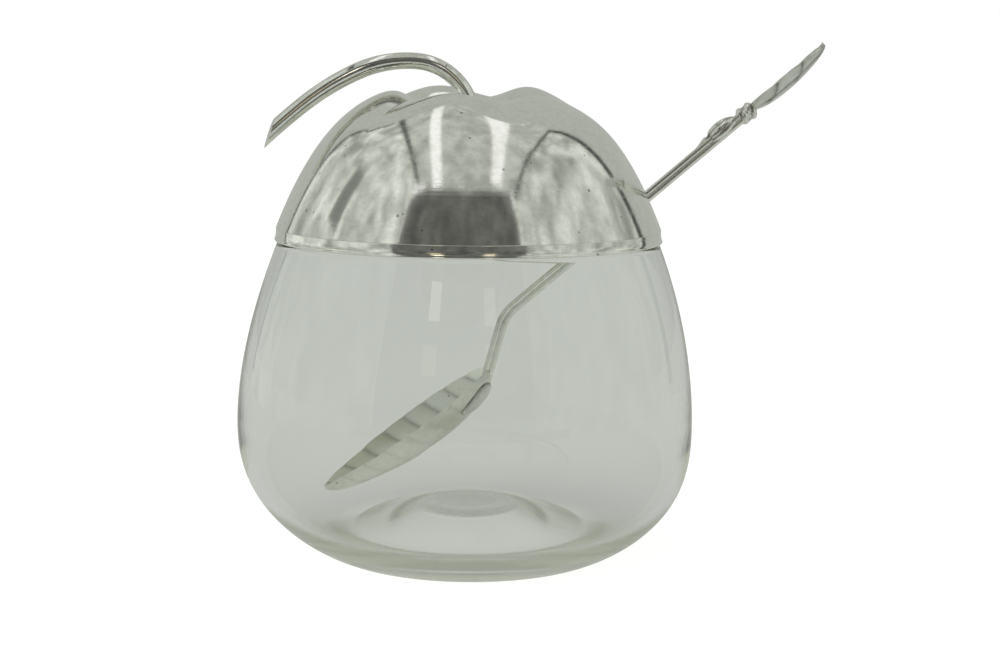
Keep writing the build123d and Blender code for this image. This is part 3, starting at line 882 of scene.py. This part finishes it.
# %% Start the lid's tree with a grid that is five lobes wide
rows = 96
columns = 285
azimuth_sizes = {f"Valley {n + 1}": value for n, value in enumerate(valley_azimuths)}
lift_sizes = {f"Lift {n + 1}": value for n, value in enumerate(lobe_lifts)}
all_sizes = {**lid_sizes, **azimuth_sizes, **lift_sizes, "Rows": rows, "Columns": columns}
tree, size = new_tree("lobed_lid", all_sizes)
height_steps = arithmetic(tree, "MULTIPLY_ADD", size["Rows"], 2.0, 3.0)
grid = add_node(
    tree, "GeometryNodeMeshGrid", size_x=1.0, size_y=1.0,
    vertices_x=arithmetic(tree, "ADD", size["Columns"], 1.0), vertices_y=height_steps,
)
position = tree.nodes.new("GeometryNodeInputPosition").outputs[0]
place = add_node(tree, "ShaderNodeSeparateXYZ", in_0=position)
lobes = len(lobe_lifts)
around = arithmetic(tree, "ADD", place.outputs[0], 0.5)
around = arithmetic(tree, "MULTIPLY", around, float(lobes))
lobe = arithmetic(tree, "FLOOR", arithmetic(tree, "ADD", around, 0.0001))
share = arithmetic(tree, "MAXIMUM", arithmetic(tree, "SUBTRACT", around, lobe), 0.0)
print("lobes:", lobes)

# %% [markdown]
# A column's azimuth is the first valley's, plus the part of each lobe's width that is passed.
# Between two valleys the lid falls away from its crest in two ways, a round one and one with a
# sharp crease, and the crease share mixes them.

# %% Find each column's azimuth and how far it has fallen towards a valley
azimuth = size["Valley 1"]
lift = 0.0
for number in range(lobes):
    valley, after = size[f"Valley {number + 1}"], size[f"Valley {(number + 1) % lobes + 1}"]
    width = arithmetic(tree, "SUBTRACT", after, valley)
    if number == lobes - 1:
        width = arithmetic(tree, "ADD", width, 360.0)
    passed = arithmetic(tree, "SUBTRACT", around, float(number))
    passed = arithmetic(tree, "MINIMUM", arithmetic(tree, "MAXIMUM", passed, 0.0), 1.0)
    azimuth = arithmetic(tree, "MULTIPLY_ADD", passed, width, azimuth)
    here = arithmetic(tree, "COMPARE", lobe, float(number), 0.1)
    lift = arithmetic(tree, "MULTIPLY_ADD", here, size[f"Lift {number + 1}"], lift)
wave = arithmetic(tree, "SINE", arithmetic(tree, "MULTIPLY", share, pi))
round_fall = arithmetic(tree, "SUBTRACT", 1.0, arithmetic(tree, "MULTIPLY", wave, wave))
sharp_fall = arithmetic(tree, "SUBTRACT", 1.0, wave)
difference = arithmetic(tree, "SUBTRACT", sharp_fall, round_fall)
fall = arithmetic(tree, "MULTIPLY_ADD", difference, size["Crease share"], round_fall)
print("valleys at", valley_azimuths, "degrees")

# %% [markdown]
# Rows run outside from the stud hole to the rim, then back along the inside, and the last one
# lies on the first, which closes the sheet round the hole. The inside is the outside moved by
# the sheet's thickness at a right angle to the slope.

# %% Find each row's radius and height
row = arithmetic(tree, "ADD", place.outputs[1], 0.5)
row = arithmetic(tree, "MULTIPLY", row, arithmetic(tree, "SUBTRACT", height_steps, 1.0))
row = arithmetic(tree, "ROUND", row)
inside = arithmetic(tree, "GREATER_THAN", row, size["Rows"])
closing_row = arithmetic(tree, "MULTIPLY_ADD", size["Rows"], 2.0, 1.5)
inside = arithmetic(tree, "SUBTRACT", inside, arithmetic(tree, "GREATER_THAN", row, closing_row))
last_inside = arithmetic(tree, "MULTIPLY_ADD", size["Rows"], 2.0, 1.0)
back = arithmetic(tree, "SUBTRACT", last_inside, row)
step = arithmetic(tree, "MINIMUM", row, arithmetic(tree, "MAXIMUM", back, 0.0))
turn = arithmetic(tree, "MULTIPLY", arithmetic(tree, "DIVIDE", step, size["Rows"]), pi / 2)
reach = arithmetic(tree, "SUBTRACT", size["Radius"], size["Stud hole"])
radius = arithmetic(tree, "MULTIPLY_ADD", arithmetic(tree, "SINE", turn), reach, size["Stud hole"])
slope_step = 0.02
height = lid_height(tree, size, radius, fall, lift)
nearer = arithmetic(tree, "SUBTRACT", radius, slope_step)
nearer_height = lid_height(tree, size, nearer, fall, lift)
slope = arithmetic(tree, "SUBTRACT", height, nearer_height)
slope = arithmetic(tree, "DIVIDE", slope, slope_step)
length = arithmetic(tree, "SQRT", arithmetic(tree, "MULTIPLY_ADD", slope, slope, 1.0))
inward = arithmetic(tree, "DIVIDE", arithmetic(tree, "MULTIPLY", inside, size["Sheet"]), length)
sheet_radius = arithmetic(tree, "MULTIPLY_ADD", inward, slope, radius)
sheet_height = arithmetic(tree, "MAXIMUM", arithmetic(tree, "SUBTRACT", height, inward), 0.0)
print("rows:", 2 * rows + 3)

# %% Place the lid's points and close it
over = arithmetic(tree, "SUBTRACT", radius, size["Stud hole"])
centring = bell(tree, over, 0.0, 4.0)
heading = arithmetic(tree, "MULTIPLY", arithmetic(tree, "SUBTRACT", azimuth, 90.0), pi / 180)
across = arithmetic(tree, "MULTIPLY", sheet_radius, arithmetic(tree, "COSINE", heading))
across = arithmetic(tree, "MULTIPLY_ADD", centring, size["Stem offset"], across)
depth = arithmetic(tree, "MULTIPLY", sheet_radius, arithmetic(tree, "SINE", heading))
upward = arithmetic(tree, "ADD", sheet_height, size["Foot height"])
point = add_node(
    tree, "ShaderNodeCombineXYZ", x=arithmetic(tree, "MULTIPLY", across, mm),
    y=arithmetic(tree, "MULTIPLY", depth, mm), z=arithmetic(tree, "MULTIPLY", upward, mm),
)
shaped = add_node(
    tree, "GeometryNodeSetPosition", geometry=grid.outputs[0], position=point.outputs[0]
)
closed = add_node(
    tree, "GeometryNodeMergeByDistance", geometry=shaped.outputs[0], distance=0.004 * mm
)
end_tree(tree, closed.outputs[0], size["Finish"])
lid_mesh = grown("lobed_lid", tree, all_sizes, lid_silver)
print("lid points", len(lid_mesh.vertices), "faces", len(lid_mesh.polygons))

# %% [markdown]
# The spoon leans out through a slot in the lid's lower edge. It is sawn and filed out of the
# finished sheet, so a round-topped block is taken away from the lid's mesh.

# %% Clean a mesh
import bmesh


def tidied(mesh):
    """Merge doubled points and turn every face outwards."""
    work = bmesh.new()
    work.from_mesh(mesh)
    bmesh.ops.remove_doubles(work, verts=work.verts, dist=0.002 * mm)
    bmesh.ops.recalc_face_normals(work, faces=work.faces)
    work.to_mesh(mesh)
    work.free()
    return mesh


print("cleaning ready")

# %% The slot's cutter
def slot_cutter(azimuth, width, rise, inner, outer):
    """A round-topped block that reaches out through the lid's wall."""
    heading = radians(azimuth - 90)
    outline = [(-width / 2, -1.0), (width / 2, -1.0)]
    for index in range(25):
        turn = pi * index / 24
        outline.append((width / 2 * cos(turn), rise - width / 2 + width / 2 * sin(turn)))
    points = []
    for reach in (inner, outer):
        for side, height in outline:
            points.append((
                (reach * cos(heading) - side * sin(heading)) * mm,
                (reach * sin(heading) + side * cos(heading)) * mm,
                (lid_foot + height) * mm,
            ))
    count = len(outline)
    faces = [tuple(range(count)), tuple(range(2 * count - 1, count - 1, -1))]
    for index in range(count):
        after = (index + 1) % count
        faces.append((index, index + count, after + count, after))
    mesh = bpy.data.meshes.new("slot_cutter")
    mesh.from_pydata(points, [], faces)
    return tidied(mesh)


print("slot cutter ready")

# %% Cut one mesh with another
def cut(mesh, cutter_mesh, name):
    """The mesh with the cutter's space taken away."""
    target = bpy.data.objects.new(name, mesh)
    cutter = bpy.data.objects.new("cutter", cutter_mesh)
    for item in (target, cutter):
        bpy.context.scene.collection.objects.link(item)
    modifier = target.modifiers.new("cut", "BOOLEAN")
    modifier.operation = "DIFFERENCE"
    modifier.solver = "EXACT"
    modifier.object = cutter
    evaluated = target.evaluated_get(bpy.context.evaluated_depsgraph_get())
    result = bpy.data.meshes.new_from_object(evaluated)
    target.modifiers.remove(modifier)
    bpy.data.objects.remove(target)
    bpy.data.objects.remove(cutter)
    return result


print("cutting ready")

# %% Cut the spoon's slot
slot_mesh = slot_cutter(azimuth=92.5, width=6.4, rise=9.88, inner=22.0, outer=46.0)
lid_mesh = cut(tidied(lid_mesh), slot_mesh, "lobed_lid")
lobed_lid = finish_piece("lobed_lid", lid_mesh, "lid", lid_silver, 38)
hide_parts("lid_shell")
print("lid faces", len(lid_mesh.polygons))

# %% [markdown]
# ## Stem
# The stem is a solid rod bent in a few arcs, a little thicker over its crown than at its ends, and
# sawn off aslant like a twig. Its line is worked out arc by arc, and a Geometry Nodes tree sets a
# round section along it, so that its thickness stays a matter of three numbers. A flat cut then
# gives the slanting end.

# %% The stem's line
seat_top = 95.545


def line_mesh(name, line):
    """A mesh of single edges through the points of a line."""
    mesh = bpy.data.meshes.new(name)
    edges = [(index, index + 1) for index in range(len(line) - 1)]
    mesh.from_pydata([tuple(point * mm) for point in line], edges, [])
    return mesh


def arcs_line(start, heading, arcs, step=1.5):
    """Points of an upright line of arcs, each a bend radius and a turn in degrees."""
    points = [Vector(start)]
    for radius, turn in arcs:
        count = max(3, int(radians(turn) * radius / step))
        for index in range(count):
            heading += radians(turn) / count / 2
            move = 2 * radius * sin(radians(turn) / count / 2)
            points.append(points[-1] + Vector((cos(heading), 0, sin(heading))) * move)
            heading += radians(turn) / count / 2
    return points


stem_arcs = ((13.3, 80.4), (26.2, 28.6), (56.3, 14.0), (150.0, 6.5))
stem_line = arcs_line((0.8, 0, seat_top + 0.85), radians(95.75), stem_arcs)
print("stem line ends at", tuple(round(v, 1) for v in stem_line[-1]))

# %% Grow the rod along it
rod_sizes = {"Foot radius": 1.65 * mm, "Crown radius": 1.85 * mm, "End radius": 1.6 * mm,
             "Steps": 160, "Sides": 40}
tree, size = new_tree("bent_stem", rod_sizes)
curve = add_node(tree, "GeometryNodeMeshToCurve", mesh=size["Start"])
even = add_node(tree, "GeometryNodeResampleCurve", curve=curve.outputs[0], count=size["Steps"])
along = tree.nodes.new("GeometryNodeSplineParameter").outputs["Factor"]
early = arithmetic(tree, "MINIMUM", arithmetic(tree, "MULTIPLY", along, 2.0), 1.0)
late = arithmetic(tree, "MAXIMUM", arithmetic(tree, "MULTIPLY_ADD", along, 2.0, -1.0), 0.0)
first = arithmetic(tree, "SUBTRACT", size["Crown radius"], size["Foot radius"])
second = arithmetic(tree, "SUBTRACT", size["End radius"], size["Crown radius"])
thick = arithmetic(tree, "MULTIPLY_ADD", early, first, size["Foot radius"])
thick = arithmetic(tree, "MULTIPLY_ADD", late, second, thick)
ring = add_node(tree, "GeometryNodeCurvePrimitiveCircle", resolution=size["Sides"], radius=1.0)
rod = add_node(tree, "GeometryNodeCurveToMesh", curve=even.outputs[0], scale=thick,
               profile_curve=ring.outputs[0], fill_caps=True)
end_tree(tree, rod.outputs[0], size["Finish"])
stem_start = line_mesh("stem_line", stem_line)
rod_mesh = tidied(grown("bent_stem", tree, rod_sizes, plain_silver, stem_start))
print("rod faces", len(rod_mesh.polygons))

# %% Saw off its end
def saw_block(middle, slope, turn, size):
    """A big block whose flat face passes through middle, facing the rod."""
    normal = Vector((-sin(slope) * cos(turn), -sin(turn), cos(slope) * cos(turn))).normalized()
    side = normal.cross(Vector((0, 0, 1))).normalized()
    up = side.cross(normal)
    points = []
    for depth in (0, size):
        for x, y in ((-1, -1), (1, -1), (1, 1), (-1, 1)):
            points.append(tuple((middle + normal * depth + (side * x + up * y) * size) * mm))
    mesh = bpy.data.meshes.new("saw_block")
    faces = [(0, 1, 2, 3), (7, 6, 5, 4), (0, 4, 5, 1), (1, 5, 6, 2), (2, 6, 7, 3), (3, 7, 4, 0)]
    mesh.from_pydata(points, [], faces)
    return tidied(mesh)


stem_end = Vector((-43.35, 0, seat_top - 3.4))
saw_slope, saw_turn = radians(72.6), radians(12)
rod_mesh = cut(rod_mesh, saw_block(stem_end, saw_slope, saw_turn, 12.0), "bent_stem")
print("sawn rod faces", len(rod_mesh.polygons))

# %% [markdown]
# A low boss with a stud under it carries the stem through the seat. They are turned in one and
# join the rod's mesh, because on the real stem they are one piece with it.

# %% Add its boss and stud
stud_radius = 1.1
stud_foot = seat_top - 4.0
boss_radius = 1.9
boss_height = 0.9
boss_taper = 0.25
boss_offset = 0.7
boss_line = [(0, stud_foot), (stud_radius, stud_foot), (stud_radius, seat_top)]
boss_line.append((boss_radius, seat_top))
for index in range(1, 7):
    share = index / 6
    boss_line.append((boss_radius - boss_taper * share**2, seat_top + boss_height * share))
boss_line.append((0, seat_top + 1.0))
boss_mesh = turned_mesh("stem_boss", boss_line, 48, lambda height: boss_offset)
both = bmesh.new()
both.from_mesh(rod_mesh)
both.from_mesh(boss_mesh)
both.to_mesh(rod_mesh)
both.free()
bent_stem = finish_piece("bent_stem", rod_mesh, "lid", plain_silver, 40)
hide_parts("stem_handle")
print("stem faces", len(rod_mesh.polygons))

# %% [markdown]
# ## Spoon
# The spoon is cast and chased like a spray of leaves: a handle of four thin stalks laid side by
# side, a leaf bud that clasps it, a knot, a folded leaf at the end, and a broad fluted leaf for
# the bowl. Everything lies about one upright plane that leans a little, so the plane comes first.

# %% The spoon's side plane
spoon_origin = Vector((39.2626, 1.7142, 79.8212))
spoon_yaw = radians(-1.0)
spoon_roll = radians(7.0)
spoon_run = Vector((cos(spoon_yaw), sin(spoon_yaw), 0))
spoon_side = Vector((
    sin(spoon_yaw) * cos(spoon_roll), -cos(spoon_yaw) * cos(spoon_roll), sin(spoon_roll)
))
spoon_up = spoon_side.cross(spoon_run)
handle_slope = radians(40.5)
handle_outer = 28.0
handle_bend = (-31.331, -26.759)
leg_end = (-36.030, -44.297)
bowl_base = (-35.005, -38.153)


def on_plane(run, up):
    """A point of the side plane, in millimetres."""
    return spoon_origin + spoon_run * run + spoon_up * up


def on_handle(distance, offset=0.0):
    """A point this far along the handle from the slot and this far above its middle."""
    return on_plane(
        distance * cos(handle_slope) - offset * sin(handle_slope),
        distance * sin(handle_slope) + offset * cos(handle_slope),
    )


handle_above = (on_handle(0, 1) - on_handle(0)).normalized()
print("upper side of the handle", tuple(round(v, 3) for v in handle_above))

# %% [markdown]
# ## Handle
# Four round stalks run side by side along one bent line, and their ends draw together behind the
# bowl. A bevelled curve would give one plain rod, and four curves would have to be kept in step
# by hand. A Geometry Nodes tree carries one line to each stalk's place, so the bundle stays
# whole when the line is changed.

# %% The handle's line
def rounded_line(start, corner, end, radius, steps):
    """Points from start by a rounded corner to end."""
    first = (start - corner).normalized()
    second = (end - corner).normalized()
    opening = first.angle(second)
    back = radius / tan(opening / 2)
    middle = (first + second).normalized() * (radius / sin(opening / 2)) + corner
    points = [start + (corner + first * back - start) * index / steps for index in range(steps)]
    arc_start = corner + first * back - middle
    arc_end = corner + second * back - middle
    swing = arc_start.angle(arc_end)
    for index in range(steps + 1):
        share = index / steps
        turned_by = sin((1 - share) * swing) / sin(swing) * arc_start
        turned_by += sin(share * swing) / sin(swing) * arc_end
        points.append(middle + turned_by)
    last = corner + second * back
    points.extend(last + (end - last) * index / steps for index in range(1, steps + 1))
    return points


handle_line = rounded_line(
    on_handle(handle_outer), on_plane(*handle_bend), on_plane(*leg_end), 9.0, 24
)
handle_length = sum((after - before).length for before, after in zip(handle_line, handle_line[1:]))
print("handle line", round(handle_length, 1), "mm")

# %% Grow the stalks along it
stalk_sizes = {"Stalk radius": 0.72 * mm, "Half rise": 0.54 * mm, "Half spread": 0.75 * mm,
               "Steps": 150, "Sides": 20}
tree, size = new_tree("stalk_bundle", stalk_sizes)
curve = add_node(tree, "GeometryNodeMeshToCurve", mesh=size["Start"])
even = add_node(tree, "GeometryNodeResampleCurve", curve=curve.outputs[0], count=size["Steps"])
parameter = tree.nodes.new("GeometryNodeSplineParameter").outputs["Factor"]
slim = span(tree, parameter, 0.93, 1.0, 1.0, 0.45)
tangent = tree.nodes.new("GeometryNodeInputTangent").outputs[0]
side = add_node(tree, "ShaderNodeCombineXYZ", x=spoon_side.x, y=spoon_side.y, z=spoon_side.z)
above = vectors(tree, "CROSS_PRODUCT", side.outputs[0], in_1=tangent)
ring = add_node(tree, "GeometryNodeCurvePrimitiveCircle", resolution=size["Sides"],
                radius=size["Stalk radius"])
joined = tree.nodes.new("GeometryNodeJoinGeometry")
for across_sign in (-1, 1):
    for rise_sign in (-1, 1):
        spread = arithmetic(tree, "MULTIPLY", size["Half spread"], across_sign)
        rise = arithmetic(tree, "MULTIPLY", size["Half rise"], rise_sign)
        spread = arithmetic(tree, "MULTIPLY", spread, slim)
        rise = arithmetic(tree, "MULTIPLY", rise, slim)
        to_side = vectors(tree, "SCALE", side.outputs[0], scale=spread)
        to_top = vectors(tree, "SCALE", above, scale=rise)
        offset = vectors(tree, "ADD", to_side, in_1=to_top)
        moved = add_node(
            tree, "GeometryNodeSetPosition", geometry=even.outputs[0], offset=offset
        )
        stalk = add_node(tree, "GeometryNodeCurveToMesh", curve=moved.outputs[0], scale=slim,
                         profile_curve=ring.outputs[0], fill_caps=True)
        tree.links.new(stalk.outputs[0], joined.inputs[0])
end_tree(tree, joined.outputs[0], size["Finish"])
handle_start = line_mesh("handle_line", handle_line)
stalk_mesh = tidied(grown("stalk_bundle", tree, stalk_sizes, spoon_silver, handle_start))
stalks = finish_piece("stalk_bundle", stalk_mesh, "spoon", spoon_silver, 60)
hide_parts("spoon_handle")
print("stalk faces", len(stalk_mesh.polygons))

# %% [markdown]
# ## Leaves
# Bowl and end leaf are the same kind of thing at two sizes: a dished leaf with a midrib, flutes
# that slant from the midrib to the tip, and an edge with one lobe to each flute. One function
# gives both, because a rule keeps flutes and lobes in step. It also stores how deep each place
# lies between two flutes, so that tarnish gathers there.

# %% Helpers for leaves
def full(share, fullness):
    """How full a leaf is at this share of its length."""
    return abs(sin(pi * share**0.8)) ** fullness


def near(value, middle, width):
    """A smooth bump that is 1 at the middle."""
    return exp(-(((value - middle) / width) ** 2))


def fade(share, rate):
    """0 at both ends of a length and 1 between them."""
    return min(1, rate * share) * min(1, rate * (1 - share))


def hollow_depth(y, half_width, depth):
    """How deep a round hollow of this half width and depth is at y."""
    bend_radius = (half_width * half_width + depth * depth) / (2 * depth)
    return sqrt(max(bend_radius**2 - y * y, 0)) - (bend_radius - depth)


print("leaf helpers ready")

# %% Close rings of points to a body
def ringed_mesh(name, vertices, creases, count):
    """A closed body of rings of count points each, with its creases as an attribute."""
    rings = len(vertices) // count
    faces = [tuple(range(count)), tuple(range(len(vertices) - 1, len(vertices) - count - 1, -1))]
    for row in range(rings - 1):
        for index in range(count):
            after = (index + 1) % count
            faces.append((
                row * count + index, (row + 1) * count + index,
                (row + 1) * count + after, row * count + after,
            ))
    mesh = bpy.data.meshes.new(name)
    mesh.from_pydata(vertices, [], faces)
    attribute = mesh.attributes.new("crease", "FLOAT", "POINT")
    attribute.data.foreach_set("value", creases)
    return tidied(mesh)


print("rings ready")

# %% A fluted leaf
def leaf_mesh(
    name, base, along, across, up, length, half_width, depth, sheet, lobes, flute, slant, rib,
    scallop=0.5, outside=0.1, fold=0.0, dull=0.25, rows=150, columns=40,
):
    """A closed leaf of sheet metal, and the depth of its creases as an attribute. Outside is how
    far the flutes show on the under side, and fold is the height of a ridge there."""
    points = []
    creases = []
    for row in range(rows + 1):
        share = 0.006 + 0.991 * (1 - cos(pi * row / rows)) / 2
        lobe_bulge = abs(sin(pi * lobes * share)) ** 0.8
        half = half_width * full(share, 0.7) + scallop * lobe_bulge * min(1, 8 * (1 - share))
        wide = half_width * full(share, 0.7) + scallop
        deep = max(depth * full(share, 0.5), 0.3 * sheet)
        inner, outer, inner_marks, outer_marks = [], [], [], []
        for column in range(columns + 1):
            way = -cos(pi * column / columns)
            x, y = share * length, half * way
            ridge = abs(sin(pi * lobes * (share + slant * (1 - abs(way))))) ** 0.85
            strength = min(1, abs(way) * 1.8) * fade(share, 9)
            wave = flute * (ridge - 1) * strength
            vein = rib * near(y, 0, 0.9 + 0.03 * half_width) * min(1, 6 * share)
            crease = near(abs(way), 0.5, 0.1) * fade(share, 5)
            half_sheet = sheet * 0.5 * (1 - abs(way) ** 14)
            hollow = hollow_depth(y, wide, deep)
            inner.append((x, y, wave - hollow + half_sheet + vein * (1 - share)))
            under = outside * wave - hollow + fold * crease
            outer.append((x, y, under - half_sheet - 0.3 * vein))
            depth_mark = (1 - ridge) ** 3 * strength
            inner_marks.append(min(1.0, 0.7 * depth_mark + 0.4 * near(abs(y), 1.5, 0.35)))
            outer_marks.append(min(1.0, dull + depth_mark * outside * 1.5 + fold * 2.5 * crease))
        points.extend(outer + inner[-2:0:-1])
        creases.extend(outer_marks + inner_marks[-2:0:-1])
    vertices = [tuple((base + along * x + across * y + up * z) * mm) for x, y, z in points]
    return ringed_mesh(name, vertices, creases, 2 * columns)


print("leaf rule ready")

# %% A leaf's directions
def leaf_frame(slope, roll=0.0):
    """Directions along a leaf with this slope in the side plane, across it, and up from it.
    Roll lowers its near edge."""
    along = spoon_run * cos(slope) + spoon_up * sin(slope)
    up = along.cross(spoon_side)
    if up.z < 0:
        up = -up
    across = spoon_side * cos(roll) - up * sin(roll)
    return along, across, up * cos(roll) + spoon_side * sin(roll)


print("leaf directions ready")

# %% The bowl of the spoon
bowl_length, bowl_half_width, bowl_depth, bowl_sheet = 44.6, 13.2, 6.6, 0.8
bowl_along, bowl_across, bowl_up = leaf_frame(radians(36.8 + 180), radians(8))
bowl_mesh = leaf_mesh(
    "fluted_bowl", on_plane(*bowl_base), bowl_along, bowl_across, bowl_up,
    length=bowl_length, half_width=bowl_half_width, depth=bowl_depth, sheet=bowl_sheet,
    lobes=8, flute=0.18, slant=0.13, rib=0.4, scallop=0.06,
)
# The bowl's finish is the silver copy with painted lighter colours.
fluted_bowl = finish_piece("fluted_bowl", bowl_mesh, "spoon", bowl_silver_painted_light, 50)
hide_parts("spoon_bowl")
print("bowl of the spoon: faces", len(bowl_mesh.polygons))

# %% The leaf at the handle's end
end_mesh = leaf_mesh(
    "end_leaf", on_handle(28.6, 1.1), *leaf_frame(handle_slope), length=21.6,
    half_width=7.3, depth=2.5, sheet=0.9, lobes=3, flute=0.3, slant=0.2, rib=0.4, scallop=0.2,
    outside=0.5, fold=0.28,
)
end_leaf = finish_piece("end_leaf", end_mesh, "spoon", spoon_silver, 50)
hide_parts("spoon_leaf")
print("end leaf: faces", len(end_mesh.polygons))

# %% [markdown]
# The calyx is a small teardrop leaf that is soldered to the bowl's near under side, where the
# stalks end. It hugs the bowl, so each of its points is found on the bowl's under side first.

# %% The bowl's under side
def under_bowl(x, y, out):
    """A point this far outside the bowl's under side, x along it and y across it."""
    share = x / bowl_length
    deep = max(bowl_depth * full(share, 0.5), 0.3 * bowl_sheet)
    hollow = hollow_depth(y, bowl_half_width * full(share, 0.7), deep)
    height = -hollow - bowl_sheet / 2 - out
    return tuple((on_plane(*bowl_base) + bowl_along * x + bowl_across * y + bowl_up * height) * mm)


print("bowl's low end outside", tuple(round(v, 4) for v in under_bowl(bowl_length, 0, 0)))

# %% The calyx behind the bowl
calyx_rows = 40
calyx_steps = 16
calyx_half_width = 2.2
calyx_start = 1.6
calyx_run = (8.6, 7.2)
calyx_across = (-0.65, 0.76)
calyx_points = []
calyx_creases = []
for row in range(calyx_rows + 1):
    share = 0.02 + 0.96 * row / calyx_rows
    half = calyx_half_width * full(share, 0.8)
    outer, inner, marks = [], [], []
    for column in range(calyx_steps + 1):
        way = -cos(pi * column / calyx_steps)
        x = calyx_start + calyx_run[0] * share + calyx_across[0] * half * way
        y = calyx_start + calyx_run[1] * share + calyx_across[1] * half * way
        outer.append(under_bowl(x, y, 0.1 + 0.6 * (1 - way**4)))
        inner.append(under_bowl(x, y, 0.05))
        marks.append(min(1.0, 0.2 + way**6))
    calyx_points.extend(outer + inner[-2:0:-1])
    calyx_creases.extend(marks + marks[1:-1])
calyx_mesh = ringed_mesh("calyx_leaf", calyx_points, calyx_creases, 2 * calyx_steps)
calyx_leaf = finish_piece("calyx_leaf", calyx_mesh, "spoon", spoon_silver, 50)
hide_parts("spoon_calyx")
print("calyx: faces", len(calyx_mesh.polygons))

# %% [markdown]
# ## Knot and bud
# The knot is pinched in the middle and wrung like a twisted stalk. The bud is a small leaf that
# wraps the handle and swells on its upper side, with lengthwise veins. Both are rings of points
# round the handle's line whose radius follows the way round and the way along, which is simpler
# to steer than carving a ready bead.

# %% A wrapped shape round the handle
def wrapped_mesh(name, start, length, radius_at, rise=0.0, rows=60, steps=64):
    """A closed swelling round the handle's line. radius_at gives its radius, and how creased it
    is, from the share of its length and the turn round it (0 is above the handle)."""
    vertices = []
    depths = []
    for row in range(rows + 1):
        share = row / rows
        for step in range(steps):
            turn = 2 * pi * step / steps
            radius, crease = radius_at(share, turn)
            middle = on_handle(start + length * share, rise)
            above = handle_above * radius * cos(turn)
            beside = spoon_side * radius * sin(turn)
            vertices.append(tuple((middle + above + beside) * mm))
            depths.append(crease)
    return ringed_mesh(name, vertices, depths, steps)


print("wrapping ready")

# %% How thick knot and bud are
def knot_radius(share, turn):
    """Two wrung bulges with a pinch between them."""
    ends = sin(pi * share) ** 0.5
    pinch = 1 - 0.34 * near(share, 0.5, 0.16)
    strand = abs(sin(1.5 * turn + 5.0 * share))
    return 0.55 + 1.85 * ends * pinch * (0.72 + 0.28 * strand), (1 - strand) ** 2


def bud_radius(share, turn):
    """A bud that swells late on its upper side and draws in to the handle at both ends."""
    swelling = sin(pi * share**1.5) ** 0.8
    upper = 0.5 + 0.5 * cos(turn)
    vein = abs(sin(3.5 * turn + 1.2 * share))
    notch = near(share, 0.34, 0.05) * upper
    radius = 0.9 + swelling * (0.75 + 0.75 * upper) * (0.86 + 0.14 * vein) - 0.5 * notch
    return radius, min(1.0, (1 - vein) ** 2 + notch)


print("knot and bud rules ready")

# %% Knot and bud
knot_mesh = wrapped_mesh("wrung_knot", start=25.2, length=4.6, radius_at=knot_radius)
wrung_knot = finish_piece("wrung_knot", knot_mesh, "spoon", spoon_silver, 60)
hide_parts("spoon_knot")
bud_mesh = wrapped_mesh(
    "clasping_bud", start=14.0, length=11.0, radius_at=bud_radius, rise=0.35
)
clasping_bud = finish_piece("clasping_bud", bud_mesh, "spoon", spoon_silver, 60)
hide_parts("spoon_bract")
print("knot and bud: faces", len(knot_mesh.polygons) + len(bud_mesh.polygons))
